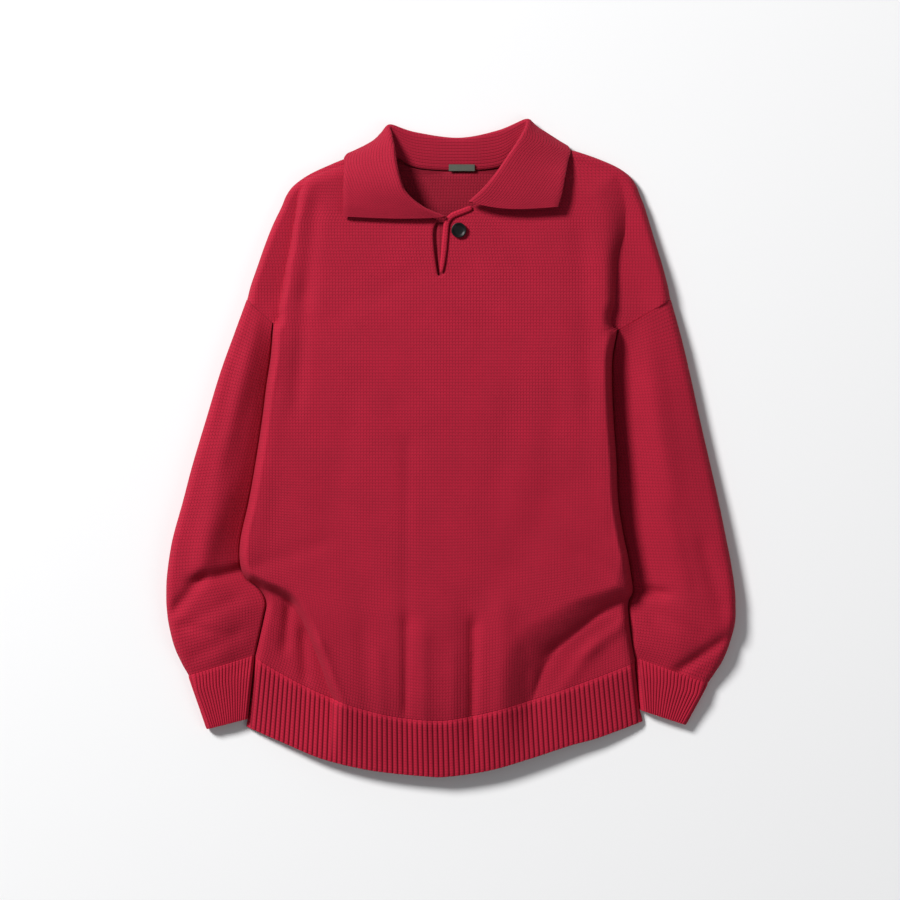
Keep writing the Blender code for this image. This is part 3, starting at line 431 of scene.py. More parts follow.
def cloth(name, points, stitch, closed=False, drop=None, layers=None):
    """An object whose mesh is the grid of points (rows, columns, 3) in millimetres.

    stitch holds the UV of each point. On a closed grid the last column repeats the first, and
    is joined to it. drop(row, column) tells which cells are left out.
    """
    rows, columns = points.shape[:2]
    width = columns - 1 if closed else columns
    r, c = np.meshgrid(np.arange(rows - 1), np.arange(columns - 1), indexing="ij")
    corners = np.stack([np.stack([r, c], -1), np.stack([r, c + 1], -1),
                        np.stack([r + 1, c + 1], -1), np.stack([r + 1, c], -1)], 2)
    corners = corners.reshape(-1, 4, 2)
    if drop is not None:
        corners = corners[[not drop(*cell) for cell in corners[:, 0]]]
    index = corners[..., 0] * width + corners[..., 1] % width
    mesh = bpy.data.meshes.new(name)
    mesh.from_pydata((points[:, :width].reshape(-1, 3) * MM).tolist(), [], index.tolist())
    uv = mesh.uv_layers.new(name="stitch")
    uv.data.foreach_set("uv", stitch[corners[..., 0], corners[..., 1]].ravel())
    for layer, values in (layers or {}).items():
        attribute = mesh.attributes.new(layer, "FLOAT", "POINT")
        attribute.data.foreach_set("value", values[:, :width].ravel())
    mesh.validate()
    mesh.shade_smooth()
    item = bpy.data.objects.new(name, mesh)
    bpy.context.scene.collection.objects.link(item)
    loose = bmesh.new()
    loose.from_mesh(mesh)
    bmesh.ops.delete(loose, geom=[p for p in loose.verts if not p.link_faces], context="VERTS")
    loose.to_mesh(mesh)
    loose.free()
    return item


def thicken(item, wall, offset=-1.0):
    """Apply a wall, and tell how many of its points are on the outer face."""
    outer_points = len(item.data.vertices)
    select_only(item)
    thick = item.modifiers.new("wall", "SOLIDIFY")
    thick.thickness = wall * MM
    thick.offset = offset
    thick.use_even_offset = False
    bpy.ops.object.modifier_apply(modifier=thick.name)
    return outer_points


def read_points(mesh):
    places = np.zeros(len(mesh.vertices) * 3)
    mesh.vertices.foreach_get("co", places)
    return places.reshape(-1, 3) / MM


def write_points(mesh, places):
    mesh.vertices.foreach_set("co", (places * MM).ravel())
    mesh.update()


def dress(item, material, what):
    """Give a finished piece its material, and print what it is."""
    item.data.materials.append(material)
    count = sum(len(face.vertices) - 2 for face in item.data.polygons)
    print(f"{item.name}: {what}, {count} triangles")


# %% [markdown]
# ## Knitting as a shader group
# Plain knitting shows a V for every stitch. Modelling each one would take a million faces,
# so a group of Math nodes draws them: two leaning legs in each wale, rounded across and
# along. Its height feeds a Bump node, and its valleys give the amount of painted shade that
# darkens the colour a little there.

# %% The knit group
WALE, COURSE = 3.45, 3.6        # width and height of one stitch, mm


class NodeMaker:
    """Adds nodes to a tree, and joins them by what they are given."""

    def __init__(self, tree):
        self.tree = tree

    def node(self, kind, **settings):
        made = self.tree.nodes.new(kind)
        for key, value in settings.items():
            setattr(made, key, value)
        return made

    def put(self, socket, value):
        if isinstance(value, bpy.types.NodeSocket):
            self.tree.links.new(value, socket)
        else:
            socket.default_value = value

    def math(self, operation, *values, clamp=False):
        made = self.node("ShaderNodeMath", operation=operation, use_clamp=clamp)
        for socket, value in zip(made.inputs, values):
            self.put(socket, value)
        return made.outputs[0]

    def plus(self, first, second):
        return self.math("ADD", first, second)

    def minus(self, first, second, clamp=False):
        return self.math("SUBTRACT", first, second, clamp=clamp)

    def times(self, first, second, clamp=False):
        return self.math("MULTIPLY", first, second, clamp=clamp)

    def noise(self, vector, scale, detail=2.0, roughness=0.5):
        made = self.node("ShaderNodeTexNoise")
        self.put(made.inputs["Vector"], vector)
        self.put(made.inputs["Scale"], scale)
        self.put(made.inputs["Detail"], detail)
        self.put(made.inputs["Roughness"], roughness)
        return made.outputs["Fac"]

    def colour_mix(self, share, first, second):
        made = self.node("ShaderNodeMix", data_type="RGBA")
        self.put(made.inputs["Factor"], share)
        self.put(made.inputs["A"], first)
        self.put(made.inputs["B"], second)
        return made.outputs["Result"]


def make_group(name, inputs, outputs):
    tree = bpy.data.node_groups.new(name, "ShaderNodeTree")
    for label, kind, value in inputs:
        socket = tree.interface.new_socket(label, in_out="INPUT", socket_type=kind)
        if value is not None:
            socket.default_value = value
    for label in outputs:
        tree.interface.new_socket(label, in_out="OUTPUT", socket_type="NodeSocketFloat")
    maker = NodeMaker(tree)
    return tree, maker, maker.node("NodeGroupInput"), maker.node("NodeGroupOutput")


def new_material(name):
    """A material, its shader, and a maker for its nodes."""
    material = bpy.data.materials.new(name)
    material.use_nodes = True
    tree = material.node_tree
    return material, tree.nodes["Principled BSDF"], NodeMaker(tree)


stitch_group, m, ins, outs = make_group(
    "knit_stitches",
    [("Stitch", "NodeSocketVector", None), ("Lean", "NodeSocketFloat", 0.45),
     ("Wander", "NodeSocketFloat", 0.12), ("Wale depth", "NodeSocketFloat", 0.5),
     ("Row depth", "NodeSocketFloat", 0.8)], ["Height", "Valley"])
wander = m.noise(ins.outputs["Stitch"], 0.9)
split = m.node("ShaderNodeSeparateXYZ")
m.put(split.inputs[0], ins.outputs["Stitch"])
drift = m.times(m.minus(wander, 0.5), ins.outputs["Wander"])
across = m.math("FRACT", m.plus(split.outputs["X"], drift))
up = m.plus(split.outputs["Y"], m.times(drift, -1.0))
from_middle = m.math("ABSOLUTE", m.minus(m.times(across, 2.0), 1.0))
leaned = m.math("FRACT", m.plus(up, m.times(from_middle, ins.outputs["Lean"])))
leg = m.minus(m.times(m.math("FRACT", m.times(across, 2.0)), 2.0), 1.0)
leg_round = m.minus(1.0, m.times(leg, leg))
run = m.minus(m.times(leaned, 2.0), 1.0)
run_squared = m.times(run, run)
run_round = m.minus(1.0, m.times(run_squared, run_squared))
wale_squared = m.times(from_middle, from_middle)
wale_cubed = m.times(wale_squared, from_middle)
wale_round = m.minus(1.0, m.times(ins.outputs["Wale depth"], wale_cubed))
row_groove = m.minus(1.0, m.math("POWER", run_round, 0.8))
row_round = m.minus(1.0, m.times(ins.outputs["Row depth"], row_groove))
legs = m.plus(m.times(m.math("POWER", leg_round, 0.6), 0.3), 0.7)
height = m.times(m.times(wale_round, legs), row_round)
m.put(outs.inputs["Height"], height)
m.put(outs.inputs["Valley"], m.minus(1.0, height, clamp=True))
print("knit group with", len(stitch_group.nodes), "nodes")

# %% [markdown]
# ## Yarn
# Wool is not one flat red. The yarn's colour drifts a little over the cloth, loose fibres make
# it fuzzy, and it glows at grazing angles. The drift and the fuzz are a second group, and the
# glow is the shader's own sheen. The meshes of ribs and seams also carry a value at each
# point, 0 to 1, of painted shade: it darkens the valleys between ribs and the seam rolls.

# %% The yarn group
yarn_group, m, ins, outs = make_group("yarn", [("Place", "NodeSocketVector", None)],
                                      ["Drift", "Fuzz"])
m.put(outs.inputs["Drift"], m.noise(ins.outputs["Place"], 26.0, 3.0))
m.put(outs.inputs["Fuzz"], m.noise(ins.outputs["Place"], 900.0, 2.0, 0.7))
print("yarn group with", len(yarn_group.nodes), "nodes")


# %% A material of knitting
def linear(red, green, blue):
    """A colour as it looks on screen, 0 to 255, for a shader."""
    parts = [value / 255 for value in (red, green, blue)]
    return tuple(p / 12.92 if p < 0.04045 else ((p + 0.055) / 1.055) ** 2.4 for p in parts) + (1.0,)


def knit_material(name, colour, shade_colour, valley_share, bump, depths=(0.45, 0.8), lean=0.45):
    material, shader, m = new_material(name)
    stitch = m.node("ShaderNodeUVMap", uv_map="stitch")
    place = m.node("ShaderNodeTexCoord")
    knit = m.node("ShaderNodeGroup", node_tree=stitch_group)
    m.put(knit.inputs["Stitch"], stitch.outputs["UV"])
    m.put(knit.inputs["Lean"], lean)
    m.put(knit.inputs["Wander"], 0.22)
    m.put(knit.inputs["Wale depth"], depths[0])
    m.put(knit.inputs["Row depth"], depths[1])
    yarn = m.node("ShaderNodeGroup", node_tree=yarn_group)
    m.put(yarn.inputs["Place"], place.outputs["Object"])
    light = tuple(min(1.0, part * 1.12) for part in colour[:3]) + (1.0,)
    dark = tuple(part * 0.88 for part in colour[:3]) + (1.0,)
    drifted = m.colour_mix(yarn.outputs["Drift"], dark, light)
    # Painted shade: the valleys of the stitches, and the rib valleys and seams that carry a painted
    # shade value, are mixed towards the shade colour.
    depth = m.times(m.math("POWER", knit.outputs["Valley"], 1.3), valley_share)
    fuzzed = m.times(depth, m.times(yarn.outputs["Fuzz"], 2.0), clamp=True)
    painted_shade = m.node("ShaderNodeAttribute", attribute_name="painted_shade")
    between = m.times(painted_shade.outputs["Fac"], 0.8)
    darker = m.math("MAXIMUM", fuzzed, between)
    m.put(shader.inputs["Base Color"], m.colour_mix(darker, drifted, shade_colour))
    relief = m.plus(knit.outputs["Height"], m.times(yarn.outputs["Fuzz"], 0.35))
    raised = m.node("ShaderNodeBump")
    m.put(raised.inputs["Height"], relief)
    raised.inputs["Distance"].default_value = bump * MM
    raised.inputs["Strength"].default_value = 0.8
    m.put(shader.inputs["Normal"], raised.outputs["Normal"])
    m.put(shader.inputs["Roughness"], m.plus(m.times(yarn.outputs["Fuzz"], 0.15), 0.78))
    shader.inputs["Specular IOR Level"].default_value = 0.25
    shader.inputs["Sheen Weight"].default_value = 0.12
    shader.inputs["Sheen Roughness"].default_value = 0.5
    shader.inputs["Sheen Tint"].default_value = (1.0, 0.12, 0.2, 1.0)
    return material


# The second colour is painted shade, mixed into the valleys and grooves.
BODY_RED, SHADE_RED = linear(172, 19, 49), linear(78, 6, 20)
red_knit = knit_material("red_knit", BODY_RED, SHADE_RED, 0.9, 0.7)
red_rib = knit_material("red_rib", linear(181, 21, 52), SHADE_RED, 0.7, 0.5, lean=0.5)
collar_knit = knit_material("collar_knit", linear(164, 18, 47), SHADE_RED, 0.9, 0.75, depths=(0.6, 0.4))
# A darker copy of the body knit: painted shade for the back seen through the neck and for the band
# recessed under the slit.
shaded_knit = knit_material("shaded_knit", linear(147, 15, 41), SHADE_RED, 0.85, 0.65)
print("materials", [each.name for each in (red_knit, red_rib, collar_knit, shaded_knit)])

# %% [markdown]
# ## The front of the body
# The largest sheet. It is split down the middle above the slit's lower end, like the real
# one, and its lower face is kept clear of the back so that the two never cross.


# %% Rows of the body
def body_rows(count_side, count_arm, count_chest, count_slit, count_neck):
    return np.concatenate([
        [0.0, 0.0012], np.linspace(0.004, 0.08, count_side // 8)[:-1],
        np.linspace(0.08, 0.22, 2 * count_side // 5)[:-1],
        np.linspace(0.22, ROW_KNOTS[1], count_side // 2)[:-1],
        np.linspace(ROW_KNOTS[1], ROW_KNOTS[2], count_arm + 1)[:-1],
        np.linspace(ROW_KNOTS[2], SLIT_START, count_chest + 1)[:-1],
        np.linspace(SLIT_START, SLIT_END, count_slit + 1)[:-1],
        np.linspace(SLIT_END, 1, count_neck + 1)])


def body_stitches(points, middle, v):
    """Wales counted along the cloth from the middle, courses counted up the body."""
    steps = np.linalg.norm(np.diff(points, axis=1), axis=2)
    length = running(steps)
    wales = (length - length[:, middle:middle + 1]) / WALE
    fade = np.clip(1 - v / 0.35, 0, 1)[:, None]
    y_middle = points[:, middle:middle + 1, 1]
    courses = (points[..., 1] - fade * (points[..., 1] - y_middle)) / COURSE
    return np.stack([wales, courses + 200.0], -1)


# %% The front sheet
body_v = body_rows(116, 16, 12, 18, 36)
flat, middle_column = body_grid(NECK_FRONT_LEFT, NECK_FRONT_RIGHT, SLIT_LEFT, SLIT_RIGHT,
                                SLIT_START, body_v, (9, 16, 14, 44))
front_points = np.concatenate([flat, front_height(flat[..., 0], flat[..., 1])[..., None]], -1)
front_edge = front_points[0].copy()
foot = 0.55 * (level(LEVELS, 2, front_points[:, 0, 1]) - BASE)
below_armpit = soft_step((0.56 - body_v) / 0.08)
tuck_under(front_points, foot, below_armpit)
first_open = int(np.searchsorted(body_v, SLIT_START - 1e-6))
front = cloth("body_front", front_points, body_stitches(front_points, middle_column, body_v),
              drop=lambda row, column: column == middle_column and row >= first_open)
outer_points = thicken(front, WALL)
places = read_points(front.data)
outer, inner = places[:outer_points], places[outer_points:]
inner[:, 1] = outer[:, 1] + 0.3 * (inner[:, 1] - outer[:, 1])
inner[:, 2] = np.minimum(inner[:, 2], front_inside(inner[:, 0], inner[:, 1]))
places[:, 2] = np.maximum(places[:, 2], front_base(places[:, 0], places[:, 1]))
write_points(front.data, places)
dress(front, red_knit, "front of the body")

# %% [markdown]
# ## The back of the body
# It lies flat on the surface, lifted a little where the collar is under it. Only a strip of
# its inner side shows through the neck.

# %% The back sheet
back_v = body_rows(60, 8, 8, 12, 24)
flat, back_column = body_grid(NECK_BACK_LEFT, NECK_BACK_RIGHT, BACK_MIDDLE_LEFT,
                              BACK_MIDDLE_RIGHT, BACK_MIDDLE_START, back_v, (2, 5, 4, 22))
shift = 0.9 * TUCK * soft_step((0.56 - back_v) / 0.08)[:, None]
from_left, from_right = flat[..., 0] - flat[:, :1, 0], flat[:, -1:, 0] - flat[..., 0]
flat[..., 0] += shift * (np.clip(1 - from_left / 60, 0, 1) - np.clip(1 - from_right / 60, 0, 1))
lift = back_lift(flat[..., 0], flat[..., 1])
back_points = np.concatenate([flat, (lift + WALL)[..., None]], -1)
back_open = int(np.searchsorted(back_v, SLIT_END - 1e-6))
back = cloth("body_back", back_points, body_stitches(back_points, back_column, back_v),
             drop=lambda row, column: column == back_column and row >= back_open)
thicken(back, WALL)
# The back wears the darker copy of the knit, painted shade where it shows through the neck.
dress(back, shaded_knit, "back of the body")

# %% [markdown]
# ## Ribbed hem
# A rib stands up because knit and purl wales take turns. Here each rib is real geometry, a
# rounded ridge between two narrow valleys, since its outline shows at the lower edge.

# %% Shape of one rib, and of the hem
HEM_RIBS, HEM_ACROSS, RIB_HEIGHT, HEM_ROLL = 78, 455.0, 1.5, 6.0
HEM_LENGTH, RIB_COURSE = 66.0, 3.2        # and the height of one stitch of a rib
RIB_STOPS = np.array([0.0, 0.07, 0.17, 0.32, 0.5, 0.68, 0.83, 0.93])


def rib_profile(place):
    """Height of a rib from 0 in its valley to 1 on its crest; place counts ribs."""
    return np.abs(np.sin(math.pi * place)) ** 0.55


def hem_grid(shares, rows, inset):
    top = along(front_edge, shares)[:, :2]
    bottom = along(HEM_BOTTOM, shares)
    run = bottom - top
    length = np.hypot(run[:, 0], run[:, 1])[:, None]
    top, bottom = top + run / length * 0.25, bottom - run / length * inset
    return np.array([bottom + (top - bottom) * t for t in rows])


def across_ribs(mesh):
    """Which way a rib stands out at each point: the normal, without its part along y."""
    normals = np.zeros(len(mesh.vertices) * 3)
    mesh.vertex_normals.foreach_get("vector", normals)
    normals = normals.reshape(-1, 3) * (1, 0, 1)
    return normals / np.maximum(np.linalg.norm(normals, axis=1), 0.1)[:, None]


# %% The front of the hem
hem_t = np.concatenate([[0, 0.008], np.linspace(0.03, 0.9, 18), [0.935, 0.965, 0.99, 1.0]])
HEM_ROWS = len(hem_t) - 1
roll = HEM_ROLL / HEM_ACROSS
rib_places = np.concatenate([(np.arange(HEM_RIBS)[:, None] + RIB_STOPS).ravel(), [HEM_RIBS]])
side_turn = np.linspace(0, 1, 6)[:-1] ** 1.6
shares = np.concatenate([side_turn * roll, roll + (1 - 2 * roll) * rib_places / HEM_RIBS,
                         1 - side_turn[::-1] * roll])
rib_count = np.concatenate([side_turn - 1, rib_places, HEM_RIBS + 1 - side_turn[::-1]])
flat = hem_grid(shares, hem_t, 0.0)
mouth = BASE + 2.0 + 13.0 * np.clip(4 * shares * (1 - shares), 0, 1) ** 0.7
side = quarter_round(np.minimum(shares, 1 - shares) * HEM_ACROSS / HEM_ROLL)
top_height = along(front_edge, shares)[:, 2] - 0.1
hem_rows = []
for t in hem_t:
    plain = mouth + (top_height - mouth) * t ** 1.2
    hem_rows.append(BASE + (plain - BASE) * side)
hem_points = np.concatenate([flat, np.array(hem_rows)[..., None]], -1)
tuck_under(hem_points, np.full(len(hem_t), 5.5), soft_step((hem_t - 0.03) / 0.25))
raised = np.where((rib_count > 0) & (rib_count < HEM_RIBS), rib_profile(rib_count), 0.0)
raised_share = np.where((rib_count < 0) | (rib_count > HEM_RIBS), 1.0, raised ** 1.5)[None]
end_fade = soft_step((1.0 - hem_t) / 0.09) * (0.55 + 0.45 * soft_step(hem_t / 0.03))
raised = raised[None] * end_fade[:, None] * RIB_HEIGHT
lengths = hem_t[:, None] * HEM_LENGTH / RIB_COURSE
stitch = np.stack([np.repeat(rib_count[None], HEM_ROWS + 1, axis=0),
                   np.repeat(lengths, len(shares), axis=1)], -1)
# Painted shade in the valleys between ribs, none on the rolled sides, fading towards the ends.
painted_shade = (1 - raised_share) * end_fade[:, None]
hem_front = cloth("hem_front", hem_points, stitch, layers={"painted_shade": painted_shade})
outer_points = thicken(hem_front, RIB_WALL)
places = read_points(hem_front.data)
places[:outer_points] += raised.ravel()[:, None] * across_ribs(hem_front.data)[:outer_points]
places[:, 2] = np.maximum(places[:, 2], BASE)
write_points(hem_front.data, places)
dress(hem_front, red_rib, "front of the hem")

# %% The back of the hem
shares = np.linspace(0, 1, 161)
flat = hem_grid(shares, np.linspace(0, 1, 9), 4.0)
flat[..., 0] += 0.9 * TUCK * (np.clip(1 - shares * 12, 0, 1) - np.clip(1 - (1 - shares) * 12, 0, 1))
hem_back_points = np.concatenate([flat, np.full(flat.shape[:2] + (1,), RIB_WALL)], -1)
stitch = np.stack([np.repeat(shares[None] * HEM_RIBS, 9, axis=0),
                   np.repeat(np.linspace(0, 20, 9)[:, None], 161, axis=1)], -1)
hem_back = cloth("hem_back", hem_back_points, stitch)
thicken(hem_back, RIB_WALL)
dress(hem_back, red_rib, "back of the hem")

# %% [markdown]
# ## Sleeves
# A sleeve that lies down is a flattened tube. Each ring of it runs from the inner edge by
# the body, over the top, round the outer edge and back underneath, where it rests.

# %% Tables of the sleeves
SLEEVE_LEFT = [
    (141.6, -235.5, 170.7, 20, 20, 17), (108.0, -250.0, 131.0, 12, 22, 18),
    (74.0, -265.5, 88.0, 8, 23, 18), (32.0, -281.0, 37.0, 7, 24, 18),
    (-14.0, -298.0, -20.0, 7, 25, 19), (-60.0, -309.0, -62.0, 7, 26, 20),
    (-104.0, -321.0, -106.0, 8, 26, 21), (-135.0, -327.0, -145.0, 9, 25, 22),
    (-153.0, -328.0, -170.0, 10, 24, 22), (-166.0, -327.4, -186.0, 13, 25, 21),
    (-182.0, -325.0, -204.0, 15, 26, 21), (-201.0, -319.0, -228.0, 15, 25, 19),
    (-222.0, -310.5, -247.5, 14, 22, 17), (-238.5, -302.3, -262.0, 12, 17, 14)]
SLEEVE_RIGHT = [
    (133.6, 253.4, 170.7, 20, 20, 17), (105.0, 266.0, 125.0, 11, 22, 18),
    (70.0, 277.0, 78.0, 7, 23, 18), (32.0, 287.0, 32.0, 6, 24, 18),
    (-14.0, 299.0, -20.0, 6, 25, 18), (-60.0, 308.0, -60.0, 6, 25, 19),
    (-102.0, 317.0, -104.0, 7, 25, 20), (-132.0, 323.0, -135.0, 8, 24, 20),
    (-158.0, 327.0, -163.0, 10, 24, 21), (-172.0, 327.8, -180.0, 13, 25, 21),
    (-188.0, 327.4, -200.0, 16, 26, 21), (-208.0, 322.0, -222.0, 17, 26, 20),
    (-227.0, 313.0, -245.0, 16, 23, 17), (-241.0, 296.0, -271.0, 12, 17, 14)]
FOLDS_LEFT = [
    (-238, -140, -289, -152, 7, -6.0), (-289, -152, -316, -184, 7, -4.5),
    (-262, -60, -284, -132, 13, 2.5), (-250, -215, -290, -238, 9, -2.0),
    (-240, 40, -268, -60, 10, -1.4), (-252, -175, -300, -200, 8, -1.6),
    (-270, -212, -305, -205, 6, -1.4), (-250, 110, -262, 30, 9, -1.0)]
FOLDS_RIGHT = [
    (214, -162, 240, -167, 6, -6.0), (292, -120, 309, -180, 10, -2.5),
    (268, -252, 312, -222, 7, -4.5), (232, 60, 246, -60, 16, 2.0),
    (224, 20, 250, -70, 9, -1.2), (240, -190, 282, -214, 8, -1.6),
    (262, -80, 280, -150, 9, -1.2), (232, -205, 258, -236, 6, -1.2)]


# %% Rings of a flattened tube
def even(cells):
    return np.arange(cells) / cells


def ring_places(inner, top, outer, bottom):
    """Kind of stretch and share run along it, for each point round a ring."""
    kinds = np.repeat([0, 1, 2, 3, 0], [len(inner), len(top), len(outer), len(bottom), 1])
    return kinds, np.concatenate([inner, top, outer, bottom, [0.0]])


FOOT_REACH = 1.1


def ring(inner, outer, heights, places, inner_roll, outer_roll, fold_table):
    """One section of a flattened tube that rests on the surface, its foot under the body."""
    inner, outer = np.array(inner), np.array(outer)
    kinds, t = places
    width = math.hypot(*(outer - inner))
    first, last, foot = inner_roll / width, 1 - outer_roll / width, FOOT_REACH / width
    inner_angle, outer_angle = -math.pi / 2 + math.pi * t, math.pi / 2 - math.pi * t
    share = np.select([kinds == 0, kinds == 1, kinds == 2],
                      [np.where(inner_angle > 0, first * (1 - np.cos(inner_angle)),
                                -foot * np.sin(inner_angle) ** 2), first + (last - first) * t,
                       last + (1 - last) * np.cos(outer_angle)], last - (last + foot) * t)
    rise = np.select([kinds == 0, kinds == 1, kinds == 2],
                     [(1 + np.sin(inner_angle)) / 2, np.ones_like(t),
                      (1 + np.sin(outer_angle)) / 2], 0.0)
    place = inner + (outer - inner) * share[:, None]
    arch = smooth_line([(0, heights[0]), (0.25, 0.45 * heights[0] + 0.55 * heights[1]),
                        (0.5, heights[1]), (0.75, 0.6 * heights[1] + 0.4 * heights[2]),
                        (1, heights[2])], 10)
    crest = np.interp(share, arch[:, 0], arch[:, 1])
    crest = crest + folds(fold_table, place[:, 0], place[:, 1])
    return np.column_stack([place, crest * rise])


def tube_stitches(points, middle):
    """UV of a tube: wales counted round each ring from its top, courses counted along it."""
    around = np.linalg.norm(np.diff(points, axis=1), axis=2)
    wales = running(around)
    wales = (wales - wales[:, middle:middle + 1]) / WALE
    along_it = np.linalg.norm(np.diff(points[:, middle], axis=0), axis=1)
    courses = running(along_it) / COURSE
    return np.stack(np.broadcast_arrays(wales, courses[:, None]), -1)


# %% Both sleeves
SLEEVE_OUTER_ROLL = 9.0
INNER_CELLS, TOP_CELLS = 10, 44
INNER_ROLL = {-1: [(-245, 2.2), (-160, 3.0), (60, 3.0), (140, 2.0)],
              1: [(-245, 5.5), (-190, 5.5), (-150, 4.5), (60, 4.0), (135, 2.0)]}


def make_sleeve(name, table, fold_table, side):
    places = ring_places(even(INNER_CELLS), even(TOP_CELLS), even(14), even(10))
    ring_shares = np.concatenate([[0, 0.001], np.linspace(0.006, 0.994, 119), [0.999, 1]])
    dense = along(smooth_line([row[1:3] + row[:1] + row[3:] for row in table]), ring_shares)
    body_side = SIDE_RIGHT if side > 0 else SIDE_LEFT
    rings = []
    for share, row in zip(ring_shares, dense):
        clear = 0.3 - 1.4 * float(soft_step(share / 0.2))
        inner = (float(x_at(body_side, row[2])) + side * clear, row[2])
        inner_roll = np.interp(row[2], *zip(*INNER_ROLL[side]))
        rings.append(ring(inner, row[0:2], row[3:6], places, inner_roll, SLEEVE_OUTER_ROLL,
                          fold_table))
    points = np.array(rings)
    stitch = tube_stitches(points, INNER_CELLS + TOP_CELLS // 2)
    if side > 0:
        points, stitch = points[:, ::-1], stitch[:, ::-1]
    item = cloth(name, points, stitch, closed=True)
    thicken(item, SLEEVE_WALL)
    places = read_points(item.data)
    places[:, 2] = np.maximum(places[:, 2], 0.0)
    write_points(item.data, places)
    dress(item, red_knit, "sleeve")
    return item


sleeve_l = make_sleeve("sleeve_cloth_left", SLEEVE_LEFT, FOLDS_LEFT, -1)
sleeve_r = make_sleeve("sleeve_cloth_right", SLEEVE_RIGHT, FOLDS_RIGHT, 1)

# %% [markdown]
# ## Cuffs
# A cuff is a short ribbed tube. Its top carries seventeen ribs, four more go round its outer
# edge, and it gets a little lower towards its open end.

# %% Both cuffs
CUFF_LEFT = [(-226.0, -238.6, -302.4, -262.1), (-230.1, -275.0, -291.5, -293.0),
             (-234.2, -312.0, -281.0, -324.0)]
CUFF_RIGHT = [(211.4, -241.1, 296.0, -271.1), (214.9, -272.0, 283.0, -295.0),
              (218.5, -302.0, 270.0, -319.0)]
CUFF_RIBS, EDGE_RIBS, CUFF_RIB_HEIGHT, CUFF_LENGTH = 17, 4, 1.2, 72
CUFF_TOP, CUFF_TAPER = 17.0, 5.0


def make_cuff(name, table, side):
    rib_place = (np.arange(CUFF_RIBS)[:, None] + RIB_STOPS).ravel()
    edge_place = (np.arange(EDGE_RIBS)[:, None] + RIB_STOPS).ravel()
    places = ring_places(even(8), rib_place / CUFF_RIBS, edge_place / EDGE_RIBS, even(60))
    ring_shares = np.concatenate([[0, 0.008, 0.03, 0.06], np.linspace(0.1, 0.98, 22), [0.994, 1]])
    dense = along(smooth_line(table, 12), ring_shares)
    rings = []
    for share, row in zip(ring_shares, dense):
        top = CUFF_TOP - CUFF_TAPER * share
        slack = float(soft_step(1 - share / 0.35))
        heights = (top - 1 - 4 * slack, top, top - 1 - 2 * slack)
        rings.append(ring(row[0:2], row[2:4], heights, places, INNER_ROLL[side][0][1],
                          5.0 + 4.0 * slack, []))
    points = np.array(rings)
    ribbed = np.concatenate([rib_place, CUFF_RIBS + edge_place])
    stop = 8 + len(ribbed)
    profile = np.zeros(points.shape[1])
    profile[8:stop] = rib_profile(ribbed)
    lift = profile * CUFF_RIB_HEIGHT
    # Painted shade in the valleys between the ribs.
    painted_shade = np.zeros(points.shape[1])
    painted_shade[8:stop] = 0.8 * (1 - profile[8:stop])
    count = np.zeros(points.shape[1])
    count[8:stop] = ribbed
    count[:8] = -2.0 + np.arange(8) / 4
    count[stop:] = CUFF_RIBS + EDGE_RIBS + np.arange(points.shape[1] - stop) / 3
    courses = ring_shares * CUFF_LENGTH / RIB_COURSE
    stitch = np.stack(np.broadcast_arrays(count[None], courses[:, None]), -1)
    by_sleeve = 0.3 + 0.7 * soft_step(ring_shares / 0.06)
    by_mouth = 0.55 + 0.45 * soft_step((1 - ring_shares) / 0.03)
    end_fade = by_sleeve * by_mouth
    raised = lift[None] * end_fade[:, None]
    painted_shade = painted_shade[None] * end_fade[:, None]
    if side > 0:
        points, stitch = points[:, ::-1], stitch[:, ::-1]
        raised, painted_shade = raised[:, ::-1], painted_shade[:, ::-1]
    item = cloth(name, points, stitch, closed=True, layers={"rib": raised, "painted_shade": painted_shade})
    outer_points = thicken(item, RIB_WALL)
    places = read_points(item.data)
    values = np.zeros(len(item.data.vertices))
    item.data.attributes["rib"].data.foreach_get("value", values)
    places[:outer_points] += values[:outer_points, None] * across_ribs(item.data)[:outer_points]
    places[:, 2] = np.maximum(places[:, 2], 0.0)
    write_points(item.data, places)
    dress(item, red_rib, "cuff")
    return item


cuff_l = make_cuff("cuff_rib_left", CUFF_LEFT, -1)
cuff_r = make_cuff("cuff_rib_right", CUFF_RIGHT, 1)

# %% [markdown]
# ## Collar
# The collar is one knitted strip, folded along its length: a stand that is sewn to the
# neck, a fold, and a fall with two points in front. It is lofted through eighteen sections
# that turn from in front, over the shoulder, to under the back.

